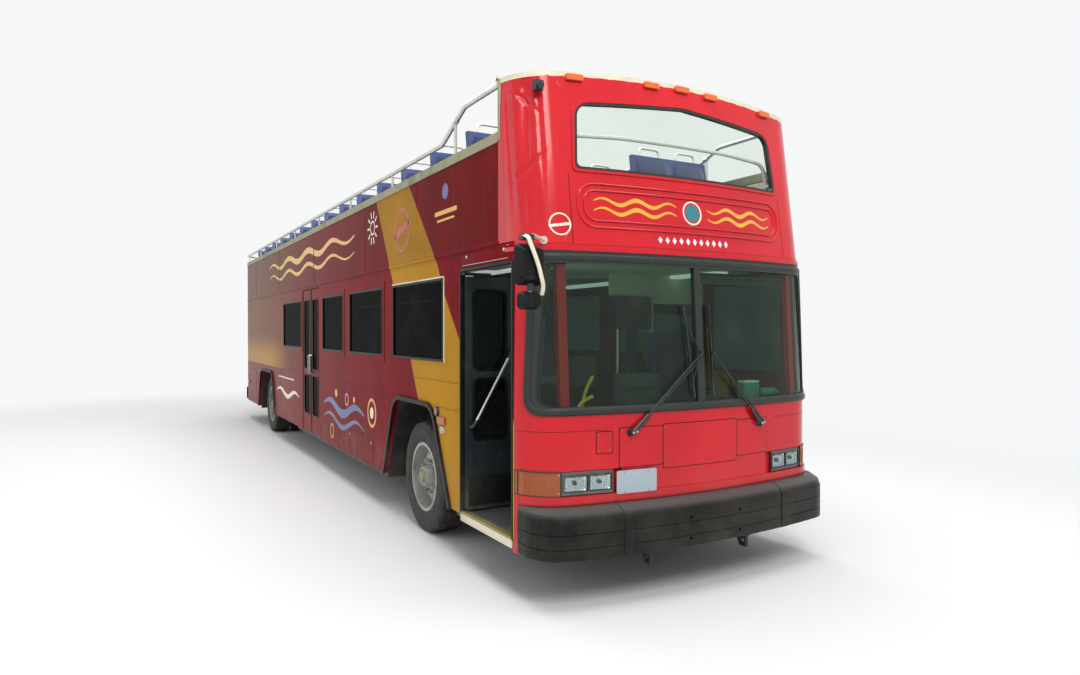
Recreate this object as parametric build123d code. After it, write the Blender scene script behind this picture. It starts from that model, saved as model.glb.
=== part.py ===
"""Open top double decker bus, in millimetres.

+X is forward, +Y is the driver's side, +Z is up. The origin is on the ground, below the middle
of the overall length and width.
"""
from build123d import *
from math import atan2, cos, hypot, pi, radians, sin, sqrt, tan
import os

# Overall body
HALF_WIDTH = 1295.0
WALL = 40.0
SKIRT_Z = 380.0
SEAM_Z = 2345.0
LIP_Z = 2310.0
COAMING_Z = 3040.0
CAP_HEIGHT = 70.0
CAP_WIDTH = 52.0
REAR_X = -6080.0
REAR_CORNER = 300.0
FIT = 0.3
MOVING_GAP = 7.0

# Nose: the face leans back above the belt
NOSE_X = 6070.0
NOSE_BOW = 6000.0
NOSE_CORNER = 300.0
BELT_Z = 1210.0
LEAN_LOW_X = 6003.0
LEAN_TOP_X = 5836.0
TOP_Z = 3530.0
TOP_SIDE_Z = 3465.0
UPPER_NOSE_BACK_X = 5490.0
DOOR_FRONT_X = 5700.0
MASK_Z = 645.0
VALANCE_Z = 700.0
VALANCE_PROUD = 18.0
FRONT_POST_Z = 310.0

# Bumpers: the front one's height with how far it is set in there ahead and at the sides
BUMPER_BACK_X = 5780.0
BUMPER_X = 6220.0
BUMPER_PROUD = 5.0
BUMPER_CORNER = 240.0
BUMPER_DEEP = 155.0
BUMPER_EDGES = [(330.0, 0.0, 0.0), (565.0, 0.0, 0.0), (612.0, 18.0, 6.0), (640.0, 75.0, 20.0)]
BUMPER_JOINT_Y = (665.0, 735.0)
BUMPER_JOINT_PROUD = 4.0
BUMPER_GROOVES_Z = [400.0, 490.0]
BUMPER_GROOVE = 5.0
BUMPER_HOLES = [(220.0, 380.0), (220.0, 518.0)]
BUMPER_HOLE_R = 11.0
REAR_BUMPER_WRAP = 150.0
REAR_BUMPER_Z = (400.0, 620.0)

# Lamps: headlamp bezels and lenses across the face, and the markers along the top
LAMP_LOW = VALANCE_Z + 5
LAMP_HIGH = VALANCE_Z + 155
BEZEL = (722.0, 1080.0)
LENSES = [(734.0, 894.0), (906.0, 1068.0)]
TOP_MARKERS_Y = [-878.0, -273.0, 0.0, 273.0, 878.0]

# Windscreen: side view's inset with its low and high edges, then the pillars behind its corners
SCREEN_OPENING = (0.0, BELT_Z + 6, LIP_Z - 10)
SCREEN_GLASS = (60.0, BELT_Z + 60, LIP_Z - 105)
GASKET_DEEP = 30.0
DIVIDER_HALF = 30.0
PILLAR_Y = (1010.0, 1070.0)
PILLAR_DEEP = 75.0

# Mirrors: each arm's foot is turned round the nose corner by degrees, and its heads hang at X
MIRROR_Y = 1390.0
MIRROR_TUBE_R = 11.0
MIRROR_FOOT_R = 26.0
MIRROR_BENDS = [35.0, 35.0]
MIRROR_ARMS = [
    dict(side=-1, turn=32.0, foot_z=2345.0, x=6110.0, knee_z=2310.0, tip_z=1900.0),
    dict(side=1, turn=68.0, foot_z=1870.0, x=5610.0, knee_z=1830.0, tip_z=1640.0),
]
MIRROR_HEADS = [
    dict(side=-1, x=6110.0, z=2160.0, width=190.0, height=250.0),
    dict(side=-1, x=6110.0, z=1945.0, width=150.0, height=110.0),
    dict(side=1, x=5610.0, z=1640.0, width=160.0, height=280.0),
]

# Wipers: pivot and blade places across the face, and the blade's low and high ends
WIPERS = [(-595.0, -105.0), (561.0, 95.0)]
WIPER_PIVOT_Z = 1093.0
WIPER_BOSS_R = 24.0
WIPER_BLADE = (1310.0, 1935.0)

# Floors
FLOOR_Z = 400.0
FLOOR_THICK = 70.0
REAR_FLOOR_Z = 850.0
REAR_STEP_X = -1150.0
BENCH_FLOOR_Z = 1300.0
BENCH_STEP_X = -4750.0
DECK_Z = 2350.0
DECK_THICK = 80.0
PLATFORM_Z = 620.0
PLATFORM_BACK_X = 4760.0

# Underframe: first and last X, low and high Z of each pair of rails, and where they are tied
RAIL_MEMBERS = [(4100.0, 6065.0, 270.0, 330.0), (-1150.0, 3560.0, 270.0, 330.0), (-6030.0, -1230.0, 660.0, 780.0)]
CROSS_MEMBERS = [5600.0, 4300.0, 2600.0, 1400.0, 200.0, -1000.0]
REAR_CROSS_MEMBERS = [-1400.0, -2600.0, -4300.0]

# Axles and wheels
FRONT_AXLE_X = 3840.0
REAR_AXLE_X = -3600.0
TYRE_R = 480.0
TYRE_WIDTH = 276.0
RIM_R = 286.0
HAND_HOLES = 10
TYRE_OUTER_Y = 1225.0
FRONT_TYRE_Y = TYRE_OUTER_Y - TYRE_WIDTH / 2
DUAL_SPACING = 330.0
HUB_Z = TYRE_R
KINGPIN_Y = 950.0
SPINDLE_R = 35.0
PIN_R = 20.0
RUNNING_FIT = 0.05
REAR_TUBE_R = 60.0
AIR_SPRING_R = 85.0
TOW_EYE_R = 20.0

# Doors
FRONT_DOOR = (4850.0, 5700.0)
FRONT_DOOR_TOP = 2215.0
EXIT_DOOR = (-700.0, 300.0)
EXIT_DOOR_TOP = 2320.0
DOOR_PLANE_Y = -1275.0
LEAF_THICK = 36.0
ARM_OFFSET = 32.0
ARM_THICK = 20.0
ARM_PIN_R = 12.0
HINGE_R = 6.0
LEAF_LOW_Z = FLOOR_Z + 12
LEAF_HIGH_Z = FRONT_DOOR_TOP - 45
LEAF_EDGE = 5.0
LEAF_BORDER = 62.0
DOOR_GLASS = [(0.30, 0.56), (0.60, 0.94)]
EXIT_WINDOWS = [(0.12, 0.40), (0.44, 0.93)]
EXIT_BORDER = 85.0

# Grab rail across the inside of each front leaf: its radii, reach and the heights of its two feet
LEAF_RAIL_R = 13.0
LEAF_RAIL_FOOT_R = 22.0
LEAF_RAIL_FOOT = 10.0
LEAF_RAIL_OUT = 60.0
LEAF_RAIL_BEND = 45.0
LEAF_RAIL_Z = (1040.0, 1620.0)

# Rear end
ENGINE_DOOR = (900.0, 640.0, 1450.0)
REAR_WINDOW = (750.0, 1640.0, 2150.0)

# Wheel arches: foot and shoulder places along X for each arch, then top and corner radius
ARCHES = {
    "front": dict(foot=(2960.0, 4700.0), shoulder=(3330.0, 4290.0), top=1155.0, radius=230.0),
    "rear": dict(foot=(-4440.0, -2790.0), shoulder=(-4180.0, -3020.0), top=1070.0, radius=240.0),
}
ARCH_FOOT_Z = 300.0
HOUSE_WALL = 25.0
HOUSE_INNER_Y = {"front": 520.0, "rear": 575.0}

# Side windows: first and last X, then low and high Z
RIGHT_WINDOWS = [
    (3270.0, 4510.0, 1520.0, 2175.0),
    (1760.0, 2940.0, 1520.0, 2175.0),
    (500.0, 1470.0, 1520.0, 2175.0),
    (-2060.0, -770.0, 1520.0, 2175.0),
]
LEFT_WINDOWS = RIGHT_WINDOWS + [
    (-620.0, 330.0, 1520.0, 2175.0),
    (4760.0, 5620.0, 1400.0, 2175.0),
]
WINDOW_RADIUS = 25.0

# Upright joint in the skirt panels, and glass
SKIRT_JOINT_X = 1550.0
GLASS_THICK = 8.0
GLASS_INSET = 6.0

# Guard rail round the open deck
POST_X = [4700.0, 3180.0, 1710.0, 210.0, -1310.0, -2770.0, -4320.0, -5700.0]
POST_WIDE = 38.0
POST_THICK = 12.0
RAIL_R = 19.0
RAIL_Z = 3250.0
RAIL_FRONT_Z = 3440.0
RAIL_Y = 1270.0
RAIL_INSET = 20.0
RAIL_RISE_X = (4420.0, 4880.0)
RAIL_BENDS = [120.0, 120.0, 200.0]
REAR_POST_Y = [-600.0, 0.0, 600.0]

# Seats: pitch along the deck and the sizes of one double seat
SEAT_WIDTH = 870.0
SEAT_DEPTH = 420.0
SEAT_HEIGHT = 430.0
SEAT_THICK = 80.0
SEAT_BACK = 520.0
SEAT_Y = 780.0
UPPER_PITCH = 760.0
UPPER_FIRST_X = 5000.0
UPPER_ROWS = 14
DRIVER_SEAT = (5050.0, 720.0)

# Stair on the driver's side, rising forwards
STAIR_FOOT_X = -330.0
STAIR_RUN = 1700.0
STAIR_STEPS = 8
STAIR_Y = (640.0, 1240.0)

# Grab poles of the lower deck
POLE_R = 17.0
POLES = [(4600.0, 330.0), (4600.0, -330.0), (2950.0, 330.0), (2950.0, -330.0), (560.0, -330.0), (-900.0, 330.0)]


def block(x0, x1, y0, y1, z0, z1):
    """A plain block between two corners."""
    return Pos((x0 + x1) / 2, (y0 + y1) / 2, (z0 + z1) / 2) * Box(x1 - x0, y1 - y0, z1 - z0)


def along_y(sketch, y_low, y_high):
    """A side view drawn in X and Z, carried from y_low to y_high."""
    plane = Plane(origin=(0, y_high, 0), x_dir=(1, 0, 0), z_dir=(0, -1, 0))
    return extrude(plane * sketch, amount=y_high - y_low)


def along_x(sketch, x_low, x_high):
    """A front view drawn in Y and Z, carried from x_low to x_high."""
    plane = Plane(origin=(x_low, 0, 0), x_dir=(0, 1, 0), z_dir=(1, 0, 0))
    return extrude(plane * sketch, amount=x_high - x_low)


def along_z(sketch, z_low, z_high):
    """A plan view drawn in X and Y, carried from z_low to z_high."""
    return extrude(Pos(0, 0, z_low) * sketch, amount=z_high - z_low)


def rounded(u0, u1, v0, v1, radius):
    """A rectangle with rounded corners between two corners of a view."""
    return Pos((u0 + u1) / 2, (v0 + v1) / 2) * RectangleRounded(u1 - u0, v1 - v0, radius)


def outline(*points):
    return make_face(Polyline(*points, close=True))


def rod(start, end, radius):
    """A round bar from one point to another."""
    axis = Vector(*end) - Vector(*start)
    plane = Plane(origin=start, z_dir=axis)
    return extrude(plane * Circle(radius), amount=axis.length)


def bent_rod(points, radius, bends):
    """A round bar through the points, turned round each corner between them to that corner's bend."""
    corners = [Vector(*point) for point in points]
    start = corners[0]
    pieces = []
    for before, corner, after, bend in zip(corners, corners[1:], corners[2:], bends):
        way_in = (corner - before).normalized()
        way_out = (after - corner).normalized()
        turn = way_in.get_angle(way_out)
        cut = bend * tan(radians(turn / 2))
        bend_start = corner - way_in * cut
        normal = way_in.cross(way_out).normalized()
        centre = bend_start + normal.cross(way_in) * bend
        section = Plane(origin=bend_start, z_dir=way_in) * Circle(radius)
        pieces.append(rod(start, bend_start, radius))
        pieces.append(revolve(section, axis=Axis(centre, normal), revolution_arc=turn))
        start = corner + way_out * cut
    pieces.append(rod(start, corners[-1], radius))
    bar = pieces[0]
    for piece in pieces[1:]:
        bar += piece
    return bar


def mirrored(shape):
    return mirror(shape, about=Plane.XZ)


# Nose surfaces


def nose_x(z):
    """How far forward the face is at height z, on the centre line."""
    if z <= BELT_Z:
        return NOSE_X
    if z <= LIP_Z:
        return NOSE_X + (LEAN_LOW_X - NOSE_X) * (z - BELT_Z) / (LIP_Z - BELT_Z)
    return LEAN_LOW_X + (LEAN_TOP_X - LEAN_LOW_X) * (z - LIP_Z) / (TOP_Z - LIP_Z)


def face_point(y, z, off=0.0):
    """Point in front of the bowed face, off millimetres ahead of it."""
    return (nose_x(z) - NOSE_BOW + sqrt(NOSE_BOW ** 2 - y ** 2) + off, y, z)


def corner_point(side, turn, z, off=0.0):
    """Point on the rounded nose corner, turn degrees round from straight ahead."""
    corner_y = HALF_WIDTH - NOSE_CORNER
    centre_x = nose_x(z) - NOSE_BOW + sqrt((NOSE_BOW - NOSE_CORNER) ** 2 - corner_y ** 2)
    reach = NOSE_CORNER + off
    return (centre_x + reach * cos(radians(turn)), side * (corner_y + reach * sin(radians(turn))), z)


def plan_curve(face_x, half_width, corner, bow, back_x):
    """Plan edges of a bowed nose, from the right side round to the left."""
    centre_x = face_x - bow
    corner_y = half_width - corner
    corner_x = centre_x + sqrt((bow - corner) ** 2 - corner_y ** 2)
    reach = bow / (bow - corner)
    tangent = (centre_x + (corner_x - centre_x) * reach, corner_y * reach)
    turn = atan2(corner_y, corner_x - centre_x)
    middle = (pi / 2 + turn) / 2
    mid = (corner_x + corner * cos(middle), corner_y + corner * sin(middle))
    side = (corner_x, half_width)
    back = (back_x, half_width)
    points = [back, side, mid, tangent]
    right = [(x, -y) for x, y in points]
    return [
        Line(right[0], right[1]),
        ThreePointArc(right[1], right[2], right[3]),
        ThreePointArc(right[3], (face_x, 0), points[3]),
        ThreePointArc(points[3], points[2], points[1]),
        Line(points[1], points[0]),
    ]


def plan_ring(face_x, half_width, corner, bow, back_x, inner):
    """Plan face of a wall between the outer curve and the inner curve given by inner."""
    outer_edges = plan_curve(face_x, half_width, corner, bow, back_x)
    inner_edges = plan_curve(*inner, back_x)
    joins = [
        Line(outer_edges[-1] @ 1, inner_edges[-1] @ 1),
        Line(inner_edges[0] @ 0, outer_edges[0] @ 0),
    ]
    return make_face(outer_edges + inner_edges + joins)


def nose_section(z, proud, deep, back_x):
    """Nose wall section at height z, from proud outside the face to deep inside it."""
    face = nose_x(z)
    outer = (face + proud, HALF_WIDTH + proud, NOSE_CORNER + proud, NOSE_BOW + proud)
    inner = (face - deep, HALF_WIDTH - deep, NOSE_CORNER - deep, NOSE_BOW - deep)
    return Pos(0, 0, z) * plan_ring(*outer, back_x, inner)


def nose_ring(z0, z1, proud=0.0, deep=WALL, back_x=UPPER_NOSE_BACK_X - 100):
    """Nose wall between two heights that have no crease between them."""
    if z1 <= BELT_Z:
        return extrude(nose_section(z0, proud, deep, back_x), amount=z1 - z0)
    return loft([nose_section(z0, proud, deep, back_x), nose_section(z1, proud, deep, back_x)], ruled=True)


def nose_patch(view, z0, z1, proud, deep):
    """The part of the nose wall that a front view covers."""
    return nose_ring(z0, z1, proud, deep) & along_x(view, DOOR_FRONT_X, NOSE_X + 200)


# Wheel arches


def arch_view(name, grow=0.0, foot_z=ARCH_FOOT_Z):
    """Side view of an arch opening, grown outwards on every side."""
    arch = ARCHES[name]
    (foot_0, foot_1), (shoulder_0, shoulder_1) = arch["foot"], arch["shoulder"]
    top = arch["top"] + grow
    lean_0 = (shoulder_0 - foot_0) / (arch["top"] - ARCH_FOOT_Z)
    lean_1 = (foot_1 - shoulder_1) / (arch["top"] - ARCH_FOOT_Z)
    side_0 = grow * hypot(1, lean_0)
    side_1 = grow * hypot(1, lean_1)
    points = [
        (foot_0 + lean_0 * (foot_z - ARCH_FOOT_Z) - side_0, foot_z),
        (shoulder_0 + lean_0 * grow - side_0, top),
        (shoulder_1 - lean_1 * grow + side_1, top),
        (foot_1 - lean_1 * (foot_z - ARCH_FOOT_Z) + side_1, foot_z),
    ]
    face = outline(*points)
    corners = face.vertices().sort_by(Axis.Y)[-2:]
    return fillet(corners, arch["radius"] + grow)


def wheelhouses():
    """Four tubs over the wheels, open below and outwards."""
    tubs = []
    for name in ARCHES:
        inner_y = HOUSE_INNER_Y[name]
        shell = along_y(arch_view(name, HOUSE_WALL), inner_y - HOUSE_WALL, HALF_WIDTH - WALL)
        tub = shell - along_y(arch_view(name), inner_y, HALF_WIDTH)
        tub -= block(REAR_X, NOSE_X, 0, HALF_WIDTH, 0, FLOOR_Z - FLOOR_THICK)
        tub -= block(REAR_AXLE_X - 110, REAR_AXLE_X + 110, 0, HALF_WIDTH, 0, HUB_Z + 130)
        tubs += [tub, mirrored(tub)]
    return tubs


def arch_flares():
    """Black rubber edge on each arch, proud of the side."""
    proud = 25.0
    band = 12.0
    flares = []
    for name in ARCHES:
        flare = along_y(arch_view(name, band), HALF_WIDTH + FIT, HALF_WIDTH + proud)
        flare -= along_y(arch_view(name, -2 * band), HALF_WIDTH - WALL, HALF_WIDTH + 2 * proud)
        flare -= block(REAR_X, NOSE_X, 0, 2 * HALF_WIDTH, 0, SKIRT_Z)
        flares += [flare, mirrored(flare)]
    return flares


# Lower body


def side_wall(windows, doors):
    """One flat side of the lower deck in panels, with its windows, doorways and arches cut."""
    belt = ARCHES["front"]["top"]
    left, right = ARCHES["rear"]["shoulder"]
    reach = ARCHES["rear"]["radius"] * 0.75
    joints = [(x, SKIRT_Z, belt) for x in (SKIRT_JOINT_X, left + reach, right - reach)]
    joints += [(FRONT_DOOR[0], top, SEAM_Z) for x0, x1, top in doors if x0 == FRONT_DOOR[0]]
    cuts = [rounded(x0, x1, z0, z1, WINDOW_RADIUS) for x0, x1, z0, z1 in windows]
    cuts += [arch_view(name) for name in ARCHES]
    cuts += [outline((x0, 0), (x1, 0), (x1, top), (x0, top)) for x0, x1, top in doors]
    cuts += [outline((x - FIT, low), (x, low), (x, high), (x - FIT, high)) for x, low, high in joints]
    cuts.append(outline((REAR_X, belt), (NOSE_X, belt), (NOSE_X, belt + FIT), (REAR_X, belt + FIT)))
    wall = block(REAR_X + REAR_CORNER, DOOR_FRONT_X, HALF_WIDTH - WALL, HALF_WIDTH, SKIRT_Z, SEAM_Z)
    for view in cuts:
        wall -= along_y(view, HALF_WIDTH - 2 * WALL, HALF_WIDTH + WALL)
    return wall.solids()


def side_wall_right():
    doors = [(*FRONT_DOOR, FRONT_DOOR_TOP), (*EXIT_DOOR, EXIT_DOOR_TOP)]
    return [mirrored(panel) for panel in side_wall(RIGHT_WINDOWS, doors)]


def side_wall_left():
    return side_wall(LEFT_WINDOWS, [])


def rear_plan(proud, deep, front_x):
    """Plan face of the rear wall with its rounded corners."""
    half_0, half_1 = HALF_WIDTH + proud, HALF_WIDTH - deep
    back_0, back_1 = REAR_X - proud, REAR_X + deep
    outer = rounded(back_0, -back_0, -half_0, half_0, REAR_CORNER + proud)
    inner = rounded(back_1, -back_1, -half_1, half_1, REAR_CORNER - deep)
    keep = Pos((back_0 + front_x) / 2, 0) * Rectangle(front_x - back_0, 3 * HALF_WIDTH)
    return (outer - inner) & keep


def rear_wall():
    """Full height rear panel with the engine doorway and the rear window cut."""
    wall = along_z(rear_plan(0, WALL, REAR_X + REAR_CORNER), SKIRT_Z, COAMING_Z)
    half, low, high = ENGINE_DOOR
    wall -= block(REAR_X - WALL, REAR_X + 2 * WALL, -half, half, low, high)
    half, low, high = REAR_WINDOW
    wall -= along_x(rounded(-half, half, low, high, WINDOW_RADIUS), REAR_X - WALL, REAR_X + 2 * WALL)
    return wall


def engine_door():
    """Louvred door over the engine, hinged at its top edge."""
    half, low, high = ENGINE_DOOR
    gap = MOVING_GAP
    door = block(REAR_X, REAR_X + WALL, -half + gap, half - gap, low + gap, high - gap)
    slats = 8
    pitch = 55.0
    for row in range(slats):
        z = low + 150 + row * pitch
        slot = outline((REAR_X - 5, z), (REAR_X + 15, z + 25), (REAR_X + 15, z + 35), (REAR_X - 5, z + 35))
        door -= along_y(slot, -half + 120, half - 120)
    door += rod((REAR_X, -half + 2 * gap, high - gap), (REAR_X, half - 2 * gap, high - gap), HINGE_R)
    return door


def screen_view(inset, low, high):
    """Side view that marks off the wrapped windscreen, set in from its opening."""
    rear = DOOR_FRONT_X + 110 + inset
    ahead = NOSE_X + 300
    face = outline((rear, low), (ahead, low), (ahead, high), (rear, high))
    corners = face.vertices().filter_by_position(Axis.X, rear - 1, rear + 1).sort_by(Axis.Y)
    face = fillet(corners[:1], 110 - inset / 2)
    corners = face.vertices().filter_by_position(Axis.X, rear - 1, rear + 1).sort_by(Axis.Y)
    return fillet(corners[-1:], 40)


def lamp_band(half_in, half_out, low, high):
    """Front view of a pair of rectangles, one each side of the centre line."""
    middle = (half_in + half_out) / 2
    height = high - low
    pair = Pos(middle, (low + high) / 2) * Rectangle(half_out - half_in, height)
    pair += Pos(-middle, (low + high) / 2) * Rectangle(half_out - half_in, height)
    return pair


def front_mask():
    """Lower front panel, its wrapped corners and the posts that reach up beside the windscreen."""
    mask = nose_ring(MASK_Z, BELT_Z) + nose_ring(BELT_Z, LIP_Z)
    mask += nose_ring(MASK_Z, VALANCE_Z, VALANCE_PROUD, WALL) & block(5800, 6500, -1400, 1400, 0, BELT_Z)
    mask += nose_ring(FRONT_POST_Z, MASK_Z) & block(DOOR_FRONT_X, BUMPER_BACK_X - 10, -1400, 1400, 0, MASK_Z)
    mask -= along_y(screen_view(*SCREEN_OPENING), -1400, 1400)
    mask -= block(0, DOOR_FRONT_X, -1400, 1400, 0, 2 * TOP_Z)
    mask -= nose_patch(lamp_band(655, 1400, VALANCE_Z, VALANCE_Z + 160), VALANCE_Z, VALANCE_Z + 160, 60, 25)
    back = GASKET_DEEP + FIT
    foot = BELT_Z - WALL
    pillar = nose_ring(foot, BELT_Z, -back, PILLAR_DEEP)
    pillar += nose_ring(BELT_Z, LIP_Z, -back, PILLAR_DEEP)
    pillar &= block(BUMPER_BACK_X, BUMPER_X, *PILLAR_Y, foot, DECK_Z - DECK_THICK - FIT)
    return mask + pillar + mirrored(pillar)


def plan_face(face_x, half_width, corner, bow, back_x):
    """Plan face closed straight across at back_x."""
    edges = plan_curve(face_x, half_width, corner, bow, back_x)
    return make_face(edges + [Line(edges[-1] @ 1, edges[0] @ 0)])


def bumper_plan(ahead=0.0, sides=0.0):
    """Plan of the front bumper, set in ahead and at the sides."""
    return plan_face(BUMPER_X - ahead, HALF_WIDTH + BUMPER_PROUD - sides, BUMPER_CORNER, NOSE_BOW, BUMPER_BACK_X)


def bumper_bar(proud=0.0):
    """Solid bar of the front bumper, upright below and rounded over at its top in two slopes."""
    plans = []
    for z, ahead, sides in BUMPER_EDGES:
        rise = proud if ahead > 0 else 0
        plans.append(Pos(0, 0, z + rise) * bumper_plan(ahead - proud, sides - proud))
    bar = loft(plans[:2], ruled=True)
    for low, high in zip(plans[1:], plans[2:]):
        bar += loft([low, high], ruled=True)
    return bar


def bumper_front():
    """Moulded front bumper in three sections, with raised joints, two grooves and mounting holes."""
    bar = bumper_bar()
    low, high = BUMPER_EDGES[0][0], BUMPER_EDGES[-1][0]
    skin = bumper_plan(-BUMPER_GROOVE, -BUMPER_GROOVE) - bumper_plan(BUMPER_GROOVE, BUMPER_GROOVE)
    for z in BUMPER_GROOVES_Z:
        bar -= along_z(skin, z - BUMPER_GROOVE / 2, z + BUMPER_GROOVE / 2)
    inner_y, outer_y = BUMPER_JOINT_Y
    for side in (-1, 1):
        joint = (NOSE_X, BUMPER_X + BUMPER_JOINT_PROUD, *sorted((side * inner_y, side * outer_y)), 0, BELT_Z)
        bar += bumper_bar(BUMPER_JOINT_PROUD) & block(*joint)
        slot = sorted((side * inner_y, side * (inner_y - BUMPER_GROOVE)))
        bar -= along_z(skin, low, high) & block(NOSE_X, BUMPER_X, *slot, low, high)
        for y, z in BUMPER_HOLES:
            bar -= Pos(BUMPER_X, side * y, z) * Rot(0, 90, 0) * Cylinder(BUMPER_HOLE_R, BUMPER_DEEP / 2)
    inset = 60.0
    hollow = plan_face(BUMPER_X - BUMPER_DEEP, HALF_WIDTH - inset, NOSE_CORNER - inset, NOSE_BOW, BUMPER_BACK_X - inset)
    return bar - along_z(hollow, 0, BELT_Z)


def bumper_rear():
    """Rear bumper wrapped round the rear corners."""
    half = HALF_WIDTH + BUMPER_PROUD
    outer = rounded(-BUMPER_X, BUMPER_X, -half, half, REAR_CORNER)
    body = rounded(REAR_X - FIT, BUMPER_X, -HALF_WIDTH - FIT, HALF_WIDTH + FIT, REAR_CORNER + FIT)
    keep = Pos(REAR_X, 0) * Rectangle(2 * REAR_BUMPER_WRAP, 3 * HALF_WIDTH)
    return along_z((outer - body) & keep, *REAR_BUMPER_Z)


def bumpers():
    return [bumper_front(), bumper_rear()]


# Upper body


def upper_view(inset):
    """Front view of the upper windscreen, its top edge peaked at the middle."""
    points = [
        (-930 + inset, 2820 + inset),
        (930 - inset, 2820 + inset),
        (900 - inset, 3300 - inset),
        (0, 3370 - inset),
        (-900 + inset, 3300 - inset),
    ]
    face = outline(*points)
    corners = face.vertices().sort_by(Axis.Y)
    face = fillet(corners[2:4], 120 - inset)
    corners = face.vertices().sort_by(Axis.Y)
    return fillet(corners[:2], 45 - inset / 2)


def front_upper_panel():
    """Upper front panel, from the lip over the windscreen to the crowned top edge."""
    panel = nose_ring(LIP_Z, TOP_Z)
    panel -= block(0, UPPER_NOSE_BACK_X, -1400, 1400, 0, 2 * TOP_Z)
    panel -= block(0, DOOR_FRONT_X + 2, -1400, 1400, 0, SEAM_Z + 5)
    crown = ThreePointArc((-1400, TOP_SIDE_Z - 15), (0, TOP_Z), (1400, TOP_SIDE_Z - 15))
    sides = Polyline((1400, TOP_SIDE_Z - 15), (1400, 4000), (-1400, 4000), (-1400, TOP_SIDE_Z - 15))
    panel -= along_x(make_face([crown, sides]), 5000, 6500)
    panel -= along_x(upper_view(0), 5500, 6500)
    for inset in (0, 45):
        ring = rounded(-920 + inset, 920 - inset, 2440 + inset, 2745 - inset, 130 - inset)
        hole = rounded(-908 + inset, 908 - inset, 2452 + inset, 2733 - inset, 118 - inset)
        panel += nose_patch(ring - hole, LIP_Z, TOP_Z, 8, WALL / 2)
    return panel


def upper_side():
    """Side panel of the open deck, with a small lip over the seam."""
    back = REAR_X + REAR_CORNER
    panel = block(back, UPPER_NOSE_BACK_X - FIT, HALF_WIDTH - WALL, HALF_WIDTH, SEAM_Z + FIT, COAMING_Z)
    panel += block(back, UPPER_NOSE_BACK_X - FIT, HALF_WIDTH - WALL, HALF_WIDTH + 8, SEAM_Z + FIT, SEAM_Z + 25)
    return panel


def coaming_cap():
    """Aluminium cap along the top of the upper panels."""
    proud = (CAP_WIDTH - WALL) / 2
    cap = along_z(rear_plan(proud, WALL + proud, 0), COAMING_Z, COAMING_Z + CAP_HEIGHT)
    for side in (-1, 1):
        middle = side * (HALF_WIDTH - WALL / 2)
        cap += block(0, UPPER_NOSE_BACK_X - FIT, middle - CAP_WIDTH / 2, middle + CAP_WIDTH / 2,
                     COAMING_Z, COAMING_Z + CAP_HEIGHT)
    return cap


def guard_rails():
    """Tube rail on flat posts round the open deck, rising at the front to meet the nose."""
    front = UPPER_NOSE_BACK_X - FIT
    rear = REAR_X + RAIL_INSET
    low_x, high_x = RAIL_RISE_X
    half = [(front, RAIL_FRONT_Z), (high_x, RAIL_FRONT_Z), (low_x, RAIL_Z), (rear, RAIL_Z)]
    right = [(x, -RAIL_Y, z) for x, z in half]
    left = [(x, RAIL_Y, z) for x, z in reversed(half)]
    rails = bent_rod(right + left, RAIL_R, RAIL_BENDS + RAIL_BENDS[::-1])
    foot = COAMING_Z + CAP_HEIGHT
    wide, thick = POST_WIDE / 2, POST_THICK / 2
    for x in POST_X:
        top = RAIL_Z + (RAIL_FRONT_Z - RAIL_Z) * max(0, (x - low_x) / (high_x - low_x))
        for y in (-RAIL_Y, RAIL_Y):
            rails += block(x - wide, x + wide, y - thick, y + thick, foot, top)
    for y in REAR_POST_Y:
        rails += block(rear - thick, rear + thick, y - wide, y + wide, foot, RAIL_Z)
    return rails


# Glass


def side_windows():
    """Panes of both sides and the rear, each inside its opening."""
    panes = []
    y0 = HALF_WIDTH - GLASS_INSET - GLASS_THICK
    for windows, side in ((RIGHT_WINDOWS, -1), (LEFT_WINDOWS, 1)):
        for x0, x1, z0, z1 in windows:
            view = rounded(x0 + FIT, x1 - FIT, z0 + FIT, z1 - FIT, WINDOW_RADIUS)
            pane = along_y(view, y0, y0 + GLASS_THICK)
            panes.append(pane if side > 0 else mirrored(pane))
    half, low, high = REAR_WINDOW
    view = rounded(-half + FIT, half - FIT, low + FIT, high - FIT, WINDOW_RADIUS)
    panes.append(along_x(view, REAR_X + GLASS_INSET, REAR_X + GLASS_INSET + GLASS_THICK))
    return panes


def screens():
    """Two wrapped windscreen panes and the pane of the upper deck."""
    inset, low, high = SCREEN_GLASS
    wrap = nose_ring(BELT_Z, LIP_Z, -10, 18) & along_y(screen_view(inset + FIT, low + FIT, high - FIT), -1400, 1400)
    panes = [wrap & block(5000, 6500, DIVIDER_HALF + FIT, 1400, 1000, 2400)]
    panes.append(mirrored(panes[0]))
    panes.append(nose_patch(upper_view(30 + FIT), LIP_Z, TOP_Z, -10, 18))
    return panes


def screen_gaskets():
    """Black rubber round the windscreen with its centre bar, and round the upper pane."""
    ring = nose_ring(BELT_Z, LIP_Z, 8, GASKET_DEEP)
    hole_inset, low, high = SCREEN_GLASS
    opening_inset, opening_low, opening_high = SCREEN_OPENING
    frame = ring & along_y(screen_view(opening_inset + FIT, opening_low + FIT, opening_high), -1400, 1400)
    frame -= along_y(screen_view(hole_inset, low, high), -1400, 1400)
    bar = ring & block(5900, 6500, -DIVIDER_HALF, DIVIDER_HALF, low - 5, high + 5)
    upper = nose_patch(upper_view(FIT) - upper_view(30), LIP_Z, TOP_Z, 6, 30)
    return [frame + bar, upper]


# Lamps


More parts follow.
